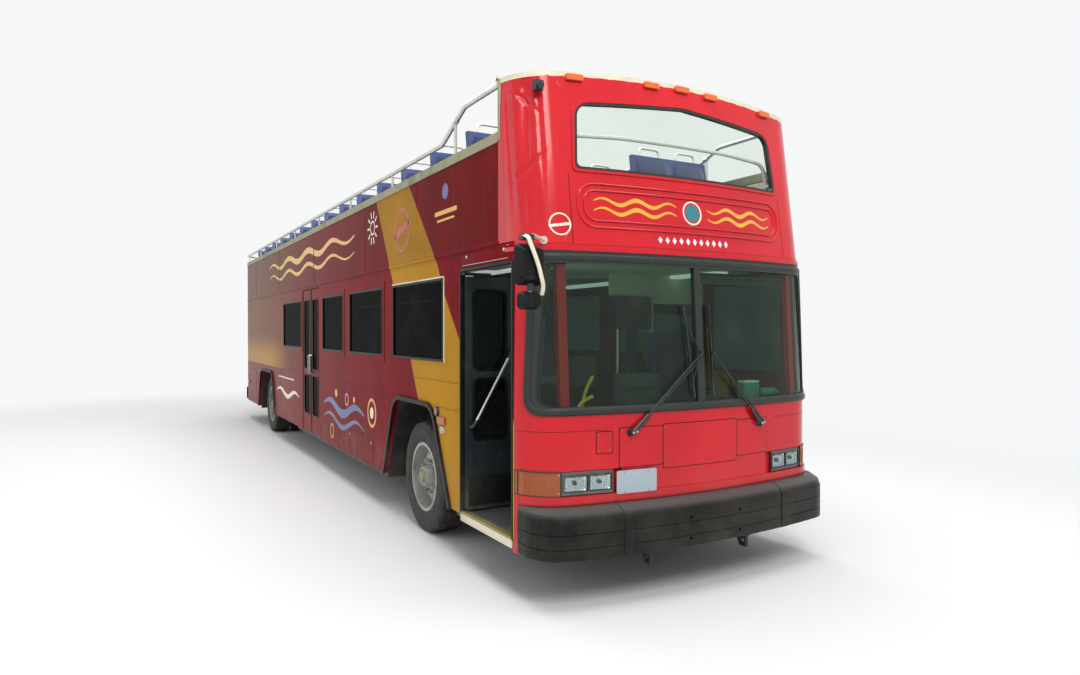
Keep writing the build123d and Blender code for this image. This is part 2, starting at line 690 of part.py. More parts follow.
def headlamp_bezels():
    bezel = nose_patch(lamp_band(*BEZEL, LAMP_LOW, LAMP_HIGH), MASK_Z, BELT_Z, -2, 24.5)
    for inner, outer in LENSES:
        bezel -= nose_patch(lamp_band(inner, outer, LAMP_LOW + 22, LAMP_HIGH - 22), MASK_Z, BELT_Z, 50, 23)
    return bezel.solids()


def headlamps():
    """Four rectangular lamps."""
    lamps = []
    for inner, outer in LENSES:
        view = lamp_band(inner + FIT, outer - FIT, LAMP_LOW + 22 + FIT, LAMP_HIGH - 22 - FIT)
        lamps += nose_patch(view, MASK_Z, BELT_Z, -5, 22.7).solids()
    return lamps


def amber_lamps():
    """Corner turn signals, roof markers and side markers."""
    view = lamp_band(BEZEL[1] + 12, 1290, LAMP_LOW, LAMP_HIGH)
    lamps = nose_patch(view, MASK_Z, BELT_Z, 4, 24.5).solids()
    for y in TOP_MARKERS_Y:
        z = TOP_Z - 33 - 40 * abs(y) / 900
        lamps.append(nose_patch(rounded(y - 62, y + 62, z - 20, z + 20, 10), LIP_Z, TOP_Z, 22, -FIT).solid())
    for side in (-1, 1):
        y = side * (HALF_WIDTH + 9)
        lamps.append(Pos(4376, y, 1110) * Rot(90, 0, 0) * Cylinder(32, 18 - 2 * FIT))
        lamps.append(Pos(4484, y, 1045) * Box(150, 18 - 2 * FIT, 55))
        lamps.append(Pos(-5600, y, 760) * Box(110, 18 - 2 * FIT, 45))
    return lamps


def red_lamps():
    """Round tail lamps in two columns and three markers above them."""
    lamps = []
    for y in (-1010, 1010):
        for z in (800, 960, 1120):
            lamps.append(Pos(REAR_X - 12 - FIT, y, z) * Rot(0, 90, 0) * Cylinder(55, 24))
    for y in (-220, 0, 220):
        lamps.append(Pos(REAR_X - 12 - FIT, y, 2900) * Box(24, 110, 40))
    return lamps


# Mirrors and wipers


def mirror_arms():
    """Bent tube arms, the right one hung from the lip and the left one from the screen pillar."""
    arms = []
    for arm in MIRROR_ARMS:
        side, turn, foot_z, x = arm["side"], arm["turn"], arm["foot_z"], arm["x"]
        y = side * MIRROR_Y
        foot = corner_point(side, turn, foot_z)
        out = (foot[0] + 0.8 * (x - foot[0]), foot[1] + 0.8 * (y - foot[1]), foot_z)
        points = [foot, out, (x, y, arm["knee_z"]), (x, y, arm["tip_z"])]
        tube = bent_rod(points, MIRROR_TUBE_R, MIRROR_BENDS)
        tube += rod(foot, corner_point(side, turn, foot_z, 14), MIRROR_FOOT_R)
        nose = (BELT_Z, LIP_Z) if foot_z < LIP_Z else (LIP_Z, TOP_Z)
        arms.append(tube - nose_ring(*nose, proud=FIT, deep=2 * WALL))
    return arms


def mirror_head(x, y, z, width, height):
    """One housing, deeper at its middle than at its rim."""
    back = x - 20
    rim = Plane(origin=(back, y, z), x_dir=(0, 1, 0), z_dir=(1, 0, 0)) * RectangleRounded(width, height, 35)
    crown = Plane(origin=(back + 70, y, z), x_dir=(0, 1, 0), z_dir=(1, 0, 0))
    crown = crown * RectangleRounded(width * 0.7, height * 0.75, 30)
    return loft([rim, crown], ruled=True)


def mirror_heads():
    arms = mirror_arms()
    heads = []
    for head in MIRROR_HEADS:
        y = head["side"] * MIRROR_Y
        heads.append(mirror_head(head["x"], y, head["z"], head["width"], head["height"]) - arms[0] - arms[1])
    return heads


def wipers():
    """Double rod arms with their blades parked near the centre bar."""
    parts = []
    tip_z = (WIPER_BLADE[0] + WIPER_BLADE[1]) / 2
    for pivot_y, blade_y in WIPERS:
        start = face_point(pivot_y, WIPER_PIVOT_Z, 34)
        tip = face_point(blade_y, tip_z, 12)
        slope = WIPER_BOSS_R * abs(pivot_y) / NOSE_BOW
        wiper = rod(face_point(pivot_y, WIPER_PIVOT_Z, slope + FIT), face_point(pivot_y, WIPER_PIVOT_Z, 45), WIPER_BOSS_R)
        wiper += rod(start, tip, 7)
        wiper += rod((start[0], pivot_y + 38, WIPER_PIVOT_Z + 7), (tip[0], blade_y + 16, tip_z - 20), 5)
        wiper += block(start[0] - 8, start[0] + 8, pivot_y - 12, pivot_y + 46, WIPER_PIVOT_Z - 8, WIPER_PIVOT_Z + 17)
        (x_low, _, low), (x_high, _, high) = [face_point(blade_y, z, -10 + FIT) for z in WIPER_BLADE]
        x_low, x_high = x_low + 2 * FIT, x_high + 2 * FIT
        blade = outline((x_low, low), (x_low + 24, low), (x_high + 24, high), (x_high, high))
        wiper += along_y(blade, blade_y - 6, blade_y + 22)
        parts.append(wiper)
    return parts


# Floors and frame


def lower_floor():
    """Front floor with the driver's platform, then a riser, the rear floor, a riser and the bench floor."""
    under = FLOOR_Z - FLOOR_THICK
    half = HALF_WIDTH - WALL - FIT
    floor = block(REAR_STEP_X, DOOR_FRONT_X, -half, half, under, FLOOR_Z)
    nose = plan_face(nose_x(0) - WALL - 5, half - WALL, NOSE_CORNER - 2 * WALL, NOSE_BOW, 5600)
    floor += along_z(nose, under, FLOOR_Z)
    floor += block(DOOR_FRONT_X - 60, DOOR_FRONT_X - FIT, -HALF_WIDTH, -half, under, FLOOR_Z) & block(
        *FRONT_DOOR, -HALF_WIDTH, 0, 0, FLOOR_Z)
    floor += block(FRONT_DOOR[0] + FIT, FRONT_DOOR[1] - FIT, -HALF_WIDTH, -half, under, FLOOR_Z - 5)
    floor += block(PLATFORM_BACK_X, 5900, 300, 1150, FLOOR_Z, PLATFORM_Z)
    levels = [(REAR_STEP_X, FLOOR_Z, REAR_FLOOR_Z, BENCH_STEP_X), (BENCH_STEP_X, REAR_FLOOR_Z, BENCH_FLOOR_Z, REAR_X)]
    corner = along_z(rear_plan(200, WALL + FIT, REAR_X + REAR_CORNER + 1), 0, SEAM_Z)
    solids = [floor]
    for step_x, low, high, back_x in levels:
        solids.append(block(step_x - FLOOR_THICK, step_x, -half, half, low - FLOOR_THICK, high))
        solids.append(block(back_x, step_x - FLOOR_THICK, -half, half, high - FLOOR_THICK, high) - corner)
    for name in ARCHES:
        inner = HOUSE_INNER_Y[name] - HOUSE_WALL - FIT
        cut = along_y(arch_view(name, HOUSE_WALL + FIT), inner, 2 * HALF_WIDTH)
        solids = [solid - cut - mirrored(cut) for solid in solids]
    return solids


def upper_deck_floor():
    """Floor slab of the open deck with the stairwell cut."""
    half = HALF_WIDTH - WALL - FIT
    back = REAR_X + WALL + FIT
    nose = nose_x(DECK_Z) - WALL - 5
    edges = plan_curve(nose, half, NOSE_CORNER - WALL, NOSE_BOW, 0)
    front = make_face(edges + [Line((0, half), (0, -half))])
    rear = rounded(back, -back, -half, half, REAR_CORNER - WALL)
    rear &= Pos(back / 2, 0) * Rectangle(-back, 2 * half)
    deck = along_z(front + rear, DECK_Z - DECK_THICK, DECK_Z)
    y0, y1 = STAIR_Y
    well = block(STAIR_FOOT_X - 60, STAIR_FOOT_X + STAIR_RUN - 40, y0 - 20, y1, DECK_Z - 200, DECK_Z + 200)
    return deck - well


def underframe():
    """Longitudinal members and crossmembers below the floors, with two tow eyes at the front."""
    frames = []
    for x0, x1, z0, z1 in RAIL_MEMBERS:
        section = block(x0, x1, 400, 470, z0, z1)
        section += mirrored(section)
        for x in CROSS_MEMBERS:
            if x0 < x < x1:
                section += block(x - 35, x + 35, -470, 470, z0, z1)
        if x0 < REAR_AXLE_X < x1:
            for x in REAR_CROSS_MEMBERS:
                section += block(x - 35, x + 35, -470, 470, z0, z1)
        frames.append(section)
    eye = outline((6000, 190), (6065, 190), (6065, 270), (5960, 270))
    for side in (-1, 1):
        plate = along_y(eye, side * 435 - 12.5, side * 435 + 12.5)
        frames[0] += plate
        frames[0] -= Pos(6032, side * 435, 228) * Rot(90, 0, 0) * Cylinder(TOW_EYE_R, 60)
    return frames


# Axles and wheels


def axles():
    """Dropped front beam and rear drive axle, with the air springs that carry the body."""
    y = KINGPIN_Y
    beam_view = outline((-y + 30, 440), (-y + 30, 520), (-590, 520), (-540, 315), (540, 315), (590, 520),
                        (y - 30, 520), (y - 30, 440), (670, 440), (590, 225), (-590, 225), (-670, 440))
    front = Pos(FRONT_AXLE_X, 0, 0) * along_x(beam_view, -50, 50)
    for side in (-1, 1):
        front += Pos(FRONT_AXLE_X, side * y, HUB_Z) * Cylinder(50, 90)
        front -= Pos(FRONT_AXLE_X, side * y, HUB_Z) * Cylinder(PIN_R + RUNNING_FIT, 200)
        spring = rod((FRONT_AXLE_X, side * 625, 500), (FRONT_AXLE_X, side * 625, 830), 38)
        spring += rod((FRONT_AXLE_X, side * 625, 830), (FRONT_AXLE_X, side * 625, ARCHES["front"]["top"] - FIT),
                      AIR_SPRING_R)
        front += spring
    rear = rod((REAR_AXLE_X, -1190, HUB_Z), (REAR_AXLE_X, 1190, HUB_Z), REAR_TUBE_R)
    bowl = Pos(REAR_AXLE_X, 0, HUB_Z) * Sphere(200)
    rear += bowl & block(REAR_AXLE_X - 150, REAR_AXLE_X + 200, -220, 220, 200, 800)
    rear += rod((REAR_AXLE_X - 120, 0, HUB_Z), (-4835, 0, 640), 55)
    for side in (-1, 1):
        rear += block(REAR_AXLE_X - 420, REAR_AXLE_X + 420, side * 435 - 45, side * 435 + 45, 430, 530)
        for x in (REAR_AXLE_X - 330, REAR_AXLE_X + 330):
            rear += rod((x, side * 435, 530), (x, side * 435, 660 - FIT), AIR_SPRING_R)
    return [front, rear]


def knuckle():
    """Left steering knuckle: two ears round the axle end, kingpin, spindle and steering arm."""
    y = KINGPIN_Y
    ears = Pos(FRONT_AXLE_X, y, HUB_Z + 66) * Cylinder(48, 38) + Pos(FRONT_AXLE_X, y, HUB_Z - 66) * Cylinder(48, 38)
    web = block(FRONT_AXLE_X - 45, FRONT_AXLE_X + 45, y + 58, y + 82, HUB_Z - 85, HUB_Z + 85)
    ties = block(FRONT_AXLE_X - 40, FRONT_AXLE_X + 40, y, y + 60, HUB_Z + 50, HUB_Z + 85)
    ties += block(FRONT_AXLE_X - 40, FRONT_AXLE_X + 40, y, y + 60, HUB_Z - 85, HUB_Z - 50)
    pin = Pos(FRONT_AXLE_X, y, HUB_Z) * Cylinder(PIN_R, 150)
    spindle = rod((FRONT_AXLE_X, y + 80, HUB_Z), (FRONT_AXLE_X, y + 255, HUB_Z), SPINDLE_R)
    arm = rod((FRONT_AXLE_X - 20, y - 10, HUB_Z - 68), (FRONT_AXLE_X - 190, y - 60, HUB_Z - 68), 16)
    return ears + web + ties + pin + spindle + arm


def tyre(y_mid):
    """One tyre, its section drawn in radius and width and turned round the axle."""
    half = TYRE_WIDTH / 2
    bead = RIM_R + FIT
    shoulder = [(bead, 0.80), (bead + 18, 0.80), (bead + 80, 1.0), (TYRE_R - 42, 0.97), (TYRE_R - 8, 0.87), (TYRE_R, 0.78)]
    near = [(radius, -half * share) for radius, share in shoulder]
    far = [(radius, half * share) for radius, share in reversed(shoulder)]
    return Pos(0, y_mid, 0) * turned(outline(*near, *far))


def turned(section):
    """A section drawn as radius and distance along the axle, turned about the Y axis."""
    plane = Plane(origin=(0, 0, 0), x_dir=(1, 0, 0), z_dir=(0, 0, 1))
    return revolve(plane * section, axis=Axis.Y, revolution_arc=360)


def rim(y_mid, disc_out, bore, hub_reach):
    """Drop-centre rim with a disc dished to disc_out, hand holes and a hub round the bore."""
    half = TYRE_WIDTH / 2 * 0.80
    wall = 12.0
    barrel = outline((RIM_R, -half), (RIM_R, half), (RIM_R - wall, half), (RIM_R - wall, -half))
    flange = outline((RIM_R, half + 2), (RIM_R + 14, half + 2), (RIM_R + 14, half + 12), (RIM_R - wall, half + 12),
                     (RIM_R - wall, half - 6), (RIM_R, half - 6))
    back_flange = outline((RIM_R, -half - 2), (RIM_R + 14, -half - 2), (RIM_R + 14, -half - 12),
                          (RIM_R - wall, -half - 12), (RIM_R - wall, -half + 6), (RIM_R, -half + 6))
    disc = outline((bore, disc_out - 14), (bore, disc_out), (170, disc_out), (RIM_R - wall / 2, half * 0.1),
                   (RIM_R - wall / 2, half * 0.1 - 22), (172, disc_out - 16))
    hub = outline((bore, disc_out - 60), (105, disc_out - 60), (105, disc_out), (85, hub_reach), (bore, hub_reach))
    wheel = turned(barrel) + turned(flange) + turned(back_flange) + turned(disc) + turned(hub)
    holes = [
        Rot(0, 360 * n / HAND_HOLES, 0) * Pos(225, 0, 0) * Rot(90, 0, 0) * Cylinder(24, 300)
        for n in range(HAND_HOLES)
    ]
    return Pos(0, y_mid, 0) * (wheel - holes)


def front_rim():
    bore = SPINDLE_R + RUNNING_FIT
    wheel = rim(FRONT_TYRE_Y, 60, bore, 130)
    return Pos(FRONT_AXLE_X, 0, HUB_Z) * wheel


def front_tyre():
    return Pos(FRONT_AXLE_X, 0, HUB_Z) * tyre(FRONT_TYRE_Y)


def rear_rims():
    """The two rims of one side, the outer one dished inwards, joined by the hub."""
    bore = REAR_TUBE_R + RUNNING_FIT
    inner_y = FRONT_TYRE_Y - DUAL_SPACING
    inner = rim(inner_y, 120, bore, 130)
    outer = mirror(rim(0, 120, bore, 130), about=Plane.XZ)
    outer = Pos(0, FRONT_TYRE_Y, 0) * outer
    drum = outline((bore, inner_y + 60), (150, inner_y + 60), (150, FRONT_TYRE_Y - 60), (bore, FRONT_TYRE_Y - 60))
    nose = outline((bore, FRONT_TYRE_Y - 120), (110, FRONT_TYRE_Y - 120), (110, FRONT_TYRE_Y + 90),
                   (80, FRONT_TYRE_Y + 110), (0, FRONT_TYRE_Y + 110), (0, FRONT_TYRE_Y + 108), (bore, FRONT_TYRE_Y + 108))
    return Pos(REAR_AXLE_X, 0, HUB_Z) * (inner + outer + turned(drum) + turned(nose))


def rear_tyres():
    pair = [tyre(FRONT_TYRE_Y), tyre(FRONT_TYRE_Y - DUAL_SPACING)]
    return [Pos(REAR_AXLE_X, 0, HUB_Z) * part for part in pair]


# Doors


PIVOT_REAR_X = FRONT_DOOR[0] + ARM_OFFSET
PIVOT_FRONT_X = FRONT_DOOR[1] - ARM_OFFSET
LEAF_WIDTH = (PIVOT_FRONT_X - PIVOT_REAR_X) / 2


def leaf_windows(u0, u1, low, high, border):
    """Low and high window places of one leaf, as rectangles."""
    height = high - low
    return [(u0 + border, u1 - border, low + height * a, low + height * b) for a, b in DOOR_GLASS]


def front_leaf_frame(x_mid, inward):
    """One open leaf standing across the doorway, drawn in Y and Z about its mid plane, and its grab rail."""
    y0 = DOOR_PLANE_Y + LEAF_EDGE
    y1 = DOOR_PLANE_Y + LEAF_WIDTH + LEAF_EDGE
    view = rounded(y0, y1, LEAF_LOW_Z, LEAF_HIGH_Z, 12)
    for a, b, low, high in leaf_windows(y0, y1, LEAF_LOW_Z, LEAF_HIGH_Z, LEAF_BORDER):
        view -= rounded(a, b, low, high, 45)
    leaf = along_x(view, x_mid - LEAF_THICK / 2, x_mid + LEAF_THICK / 2)
    middle = DOOR_PLANE_Y + LEAF_WIDTH / 2
    leaf += rod((x_mid, middle, LEAF_HIGH_Z - 5), (x_mid, middle, LEAF_HIGH_Z + 8 + ARM_THICK), ARM_PIN_R)
    return [leaf, leaf_rail(x_mid, inward, y0 + LEAF_BORDER / 2, y1 - LEAF_BORDER / 2)]


def leaf_rail(x_mid, inward, y_low, y_high):
    """Slanted rail on two feet that stand on the leaf's inside."""
    face = x_mid + inward * LEAF_THICK / 2
    out = face + inward * LEAF_RAIL_OUT
    low, high = [(y_low, LEAF_RAIL_Z[0]), (y_high, LEAF_RAIL_Z[1])]
    rail = bent_rod([(face, *low), (out, *low), (out, *high), (face, *high)], LEAF_RAIL_R, [LEAF_RAIL_BEND] * 2)
    for foot in (low, high):
        rail += rod((face, *foot), (face + inward * LEAF_RAIL_FOOT, *foot), LEAF_RAIL_FOOT_R)
    return rail


def front_leaf_glass(x_mid):
    y0 = DOOR_PLANE_Y + LEAF_EDGE
    y1 = DOOR_PLANE_Y + LEAF_WIDTH + LEAF_EDGE
    panes = []
    for a, b, low, high in leaf_windows(y0, y1, LEAF_LOW_Z, LEAF_HIGH_Z, LEAF_BORDER):
        view = rounded(a + FIT, b - FIT, low + FIT, high - FIT, 45)
        panes.append(along_x(view, x_mid - GLASS_THICK / 2, x_mid + GLASS_THICK / 2))
    return panes


def door_arm(x_mid):
    """Flat arm over the leaf, from the shaft in the header to the pin on the leaf."""
    middle = DOOR_PLANE_Y + LEAF_WIDTH / 2
    z0 = LEAF_HIGH_Z + 8
    bar = SlotCenterToCenter(LEAF_WIDTH / 2, 44)
    view = Pos(x_mid, (DOOR_PLANE_Y + middle) / 2) * Rot(0, 0, 90) * bar
    view -= Pos(x_mid, middle) * Circle(ARM_PIN_R + RUNNING_FIT)
    arm = along_z(view, z0, z0 + ARM_THICK)
    arm += rod((x_mid, DOOR_PLANE_Y, z0 + 2), (x_mid, DOOR_PLANE_Y, FRONT_DOOR_TOP - FIT), ARM_PIN_R)
    return arm


EXIT_LEAF = (EXIT_DOOR[1] - EXIT_DOOR[0]) / 2 - MOVING_GAP - 3
EXIT_FACE_Y = -HALF_WIDTH + 8


def exit_leaf(hinge_x, toward):
    """One closed leaf of the exit door, from its hinge towards the meeting edge."""
    x0, x1 = sorted((hinge_x, hinge_x + toward * EXIT_LEAF))
    low, high = SKIRT_Z + 15, EXIT_DOOR_TOP - 10
    view = rounded(x0, x1, low, high, 10)
    for a, b in EXIT_WINDOWS:
        view -= rounded(x0 + EXIT_BORDER, x1 - EXIT_BORDER, low + (high - low) * a, low + (high - low) * b, 40)
    leaf = along_y(view, EXIT_FACE_Y, EXIT_FACE_Y + LEAF_THICK - 4)
    return leaf + rod((hinge_x, EXIT_FACE_Y, low + 12), (hinge_x, EXIT_FACE_Y, high - 12), HINGE_R)


def exit_glass(hinge_x, toward):
    x0, x1 = sorted((hinge_x, hinge_x + toward * EXIT_LEAF))
    low, high = SKIRT_Z + 15, EXIT_DOOR_TOP - 10
    panes = []
    for a, b in EXIT_WINDOWS:
        bottom, top = low + (high - low) * a, low + (high - low) * b
        view = rounded(x0 + EXIT_BORDER + FIT, x1 - EXIT_BORDER - FIT, bottom + FIT, top - FIT, 40)
        panes.append(along_y(view, EXIT_FACE_Y + GLASS_INSET, EXIT_FACE_Y + GLASS_INSET + GLASS_THICK))
    return panes


# Inside


def stair():
    """Closed stair: stepped top, sloping underside."""
    rise = (DECK_Z - FLOOR_Z) / STAIR_STEPS
    run = STAIR_RUN / (STAIR_STEPS - 1)
    points = [(STAIR_FOOT_X, FLOOR_Z)]
    for step in range(STAIR_STEPS - 1):
        x = STAIR_FOOT_X + step * run
        z = FLOOR_Z + (step + 1) * rise
        points += [(x, z), (x + run, z)]
    end_x = STAIR_FOOT_X + STAIR_RUN
    points[-1] = (end_x - 40, points[-1][1])
    points += [(end_x - 40, DECK_Z - DECK_THICK), (end_x, DECK_Z - DECK_THICK)]
    points += [(end_x, DECK_Z - rise - 170), (STAIR_FOOT_X + 200, FLOOR_Z)]
    y0, y1 = STAIR_Y
    return along_y(outline(*points), y0, y1 - 5)


def seat_base(x, y, floor_z):
    """Pedestal and cushion of one double seat."""
    top = floor_z + SEAT_HEIGHT
    base = block(x - 150, x + 130, y - 45, y + 45, floor_z, top - SEAT_THICK)
    cushion = Pos(x, y) * RectangleRounded(SEAT_DEPTH, SEAT_WIDTH, 50)
    return base + along_z(cushion, top - SEAT_THICK, top)


def seat_back(x, y, floor_z):
    """Leaning back of one double seat, standing on the rear of its cushion."""
    low = floor_z + SEAT_HEIGHT
    back = x - SEAT_DEPTH / 2
    lean = 75.0
    profile = outline((back, low), (back + 65, low), (back - lean + 45, low + SEAT_BACK), (back - lean, low + SEAT_BACK))
    return along_y(profile, y - SEAT_WIDTH / 2 + 20, y + SEAT_WIDTH / 2 - 20)


def seat_places():
    """Centre of each double seat: x, y and the floor that it stands on."""
    places = []
    for row in range(UPPER_ROWS):
        x = UPPER_FIRST_X - row * UPPER_PITCH
        places.append((x, -SEAT_Y, DECK_Z))
        if not STAIR_FOOT_X - 450 < x < STAIR_FOOT_X + STAIR_RUN + 250:
            places.append((x, SEAT_Y, DECK_Z))
    places += [(x, -SEAT_Y, FLOOR_Z) for x in (2450, 1680, 910)]
    places += [(x, SEAT_Y, FLOOR_Z) for x in (2450,)]
    places += [(x, side * SEAT_Y, REAR_FLOOR_Z) for x in (-1700, -2450) for side in (-1, 1)]
    places += [(x, side * SEAT_Y, BENCH_FLOOR_Z) for x in (-5450,) for side in (-1, 1)]
    return places


def seat_bases():
    bases = [seat_base(*place) for place in seat_places()]
    x, y = DRIVER_SEAT
    driver = rod((x, y, PLATFORM_Z), (x, y, PLATFORM_Z + 330), 90)
    driver += along_z(Pos(x, y) * RectangleRounded(460, 480, 60), PLATFORM_Z + 330, PLATFORM_Z + 430)
    return bases + [driver]


def seat_backs():
    backs = [seat_back(*place) for place in seat_places()]
    x, y = DRIVER_SEAT
    low = PLATFORM_Z + 430
    profile = outline((x - 230, low), (x - 150, low), (x - 200, low + 700), (x - 260, low + 700))
    return backs + [along_y(profile, y - 210, y + 210)]


def dash():
    """Driver's dash with the steering column and wheel."""
    profile = outline((5480, 1060), (5560, 1150), (5900, 1165), (5900, 620), (5660, 620), (5600, 980))
    body = along_y(profile, -640, 1120)
    body = body & nose_space()
    y = DRIVER_SEAT[1]
    foot = (5680.0, y, 850.0)
    head = (5570.0, y, 1130.0)
    column = rod(foot, head, 32)
    tilt = Plane(origin=head, z_dir=Vector(*head) - Vector(*foot))
    wheel = tilt * Torus(225, 14)
    for turn in (90, 210, 330):
        wheel += tilt * Rot(0, 0, turn) * Pos(110, 0, 0) * Box(220, 30, 12)
    wheel += tilt * Cylinder(45, 40)
    return body + column + wheel


def nose_space():
    """Space inside the nose wall, for trimming what stands against it."""
    half = HALF_WIDTH - WALL - 10
    nose = nose_x(BELT_Z) - WALL - 20
    edges = plan_curve(nose, half, NOSE_CORNER - WALL, NOSE_BOW, 4000)
    return along_z(make_face(edges + [Line((4000, half), (4000, -half))]), 0, LIP_Z)


def driver_barrier():
    """Half glazed partition behind the driver."""
    view = rounded(330, 1200, PLATFORM_Z - 220, 2000, 30) - rounded(420, 1110, 1300, 1900, 50)
    return along_x(view, PLATFORM_BACK_X - 25, PLATFORM_BACK_X - FIT)


def grab_poles():
    """Floor to ceiling poles of the lower deck and the rail round the stairwell above."""
    poles = [rod((x, y, FLOOR_Z), (x, y, DECK_Z - DECK_THICK), POLE_R) for x, y in POLES]
    y = STAIR_Y[0] - 45
    x0, x1 = STAIR_FOOT_X - 120, STAIR_FOOT_X + STAIR_RUN - 60
    loop = [(x1, y, DECK_Z), (x1, y, DECK_Z + 900), (x0, y, DECK_Z + 900), (x0, y, DECK_Z)]
    well = bent_rod(loop, POLE_R, [120, 120])
    well += rod((x0, y, DECK_Z + 450), (x1, y, DECK_Z + 450), 14)
    return poles + [well]


def engine_block():
    """Engine and gearbox as one plain block between the rear members."""
    return block(-5900, -4850, -400 + FIT, 400 - FIT, 440, 1150)


LEFT = {
    "knuckle": knuckle,
    "rim_front": front_rim,
    "tyre_front": front_tyre,
    "rims_rear": rear_rims,
    "tyres_rear": rear_tyres,
    "upper_side": upper_side,
}


def both_sides(make):
    """The left piece as drawn and its right twin."""
    left = make()
    if isinstance(left, list):
        return left, [mirrored(part) for part in left]
    return left, mirrored(left)


NODES = {
    "side_wall_right": side_wall_right,
    "side_wall_left": side_wall_left,
    "rear_wall": rear_wall,
    "engine_door": engine_door,
    "front_mask": front_mask,
    "front_upper_panel": front_upper_panel,
    "coaming_cap": coaming_cap,
    "guard_rails": guard_rails,
    "wheelhouses": wheelhouses,
    "arch_flares": arch_flares,
    "bumpers": bumpers,
    "side_windows": side_windows,
    "screens": screens,
    "screen_gaskets": screen_gaskets,
    "headlamp_bezels": headlamp_bezels,
    "headlamps": headlamps,
    "amber_lamps": amber_lamps,
    "red_lamps": red_lamps,
    "mirror_arms": mirror_arms,
    "mirror_heads": mirror_heads,
    "wipers": wipers,
    "lower_floor": lower_floor,
    "upper_deck_floor": upper_deck_floor,
    "underframe": underframe,
    "axles": axles,
    "stair": stair,
    "seat_bases": seat_bases,
    "seat_backs": seat_backs,
    "dash": dash,
    "driver_barrier": driver_barrier,
    "grab_poles": grab_poles,
    "engine_block": engine_block,
    "front_door_frame_rear": lambda: front_leaf_frame(PIVOT_REAR_X, 1),
    "front_door_glass_rear": lambda: front_leaf_glass(PIVOT_REAR_X),
    "front_door_arm_rear": lambda: door_arm(PIVOT_REAR_X),
    "front_door_frame_front": lambda: front_leaf_frame(PIVOT_FRONT_X, -1),
    "front_door_glass_front": lambda: front_leaf_glass(PIVOT_FRONT_X),
    "front_door_arm_front": lambda: door_arm(PIVOT_FRONT_X),
    "exit_door_frame_rear": lambda: exit_leaf(EXIT_DOOR[0] + MOVING_GAP, 1),
    "exit_door_glass_rear": lambda: exit_glass(EXIT_DOOR[0] + MOVING_GAP, 1),
    "exit_door_frame_front": lambda: exit_leaf(EXIT_DOOR[1] - MOVING_GAP, -1),
    "exit_door_glass_front": lambda: exit_glass(EXIT_DOOR[1] - MOVING_GAP, -1),
}


def write(name, made):
    """One STEP file for a node, from a solid or a list of separate solids."""
    parts = made if isinstance(made, list) else [made]
    solids = [solid for part in parts for solid in part.solids()]
    shape = solids[0] if len(solids) == 1 else Compound(children=solids)
    export_step(shape, f"parts/{name}.step")


os.makedirs("parts", exist_ok=True)
for name, make in NODES.items():
    write(name, make())
for name, make in LEFT.items():
    left, right = both_sides(make)
    write(f"{name}_left", left)
    write(f"{name}_right", right)
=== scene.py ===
import bmesh
import bpy
from math import acos, asin, atan2, ceil, cos, degrees, exp, hypot, pi, radians, sin, sqrt
from mathutils import Matrix, Vector


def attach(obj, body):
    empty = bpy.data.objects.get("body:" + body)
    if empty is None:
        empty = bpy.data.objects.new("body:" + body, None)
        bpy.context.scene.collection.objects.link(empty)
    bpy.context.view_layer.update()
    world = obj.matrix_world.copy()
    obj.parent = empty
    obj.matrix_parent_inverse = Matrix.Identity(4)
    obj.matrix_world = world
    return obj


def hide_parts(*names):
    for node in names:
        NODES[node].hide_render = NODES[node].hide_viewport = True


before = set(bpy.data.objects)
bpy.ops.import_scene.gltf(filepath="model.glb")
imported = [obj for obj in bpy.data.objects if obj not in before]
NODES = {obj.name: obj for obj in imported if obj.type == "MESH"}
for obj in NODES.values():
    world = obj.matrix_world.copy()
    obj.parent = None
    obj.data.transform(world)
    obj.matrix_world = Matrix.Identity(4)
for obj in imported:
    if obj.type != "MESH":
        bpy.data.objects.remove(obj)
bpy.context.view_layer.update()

# Driving dimensions, in metres; +X is forward, +Y the driver's side, +Z up
HALF_WIDTH = 1.295
LIP_Z = 2.31
CAP_TOP_Z = 3.11
TOP_Z = 3.53
CROWN_HALF = 1.4
CROWN_SIDE_Z = 3.45
BELT_Z = 1.21
PANEL_SEAM_Z = 1.155
NOSE_X = 6.07
LEAN_LOW_X = 6.003
LEAN_TOP_X = 5.836
NOSE_BOW = 6.0
NOSE_CORNER = 0.3
REAR_X = -6.08
UPPER_NOSE_BACK_X = 5.49
FRONT_AXLE_X = 3.84
REAR_AXLE_X = -3.6
HUB_Z = 0.48
TYRE_R = 0.48
TYRE_WIDTH = 0.276
TYRE_OUTER_Y = 1.225
DUAL_SPACING = 0.33
DOOR_X = (4.85, 5.7)
EXIT_X = (-0.7, 0.3)
DECK_Z = 2.35
FLOOR_Z = 0.4
REAR_FLOOR_Z = 0.85
BENCH_FLOOR_Z = 1.30
PLATFORM_Z = 0.62
SIDES = (-1, 1)
SIDE_NAMES = {-1: "right", 1: "left"}


# Shader maths


def operator(operation, swapped=False):
    """One of the language's operators as a maths node."""
    def apply(wire, other):
        return wire.math(operation, other, swapped)
    return apply


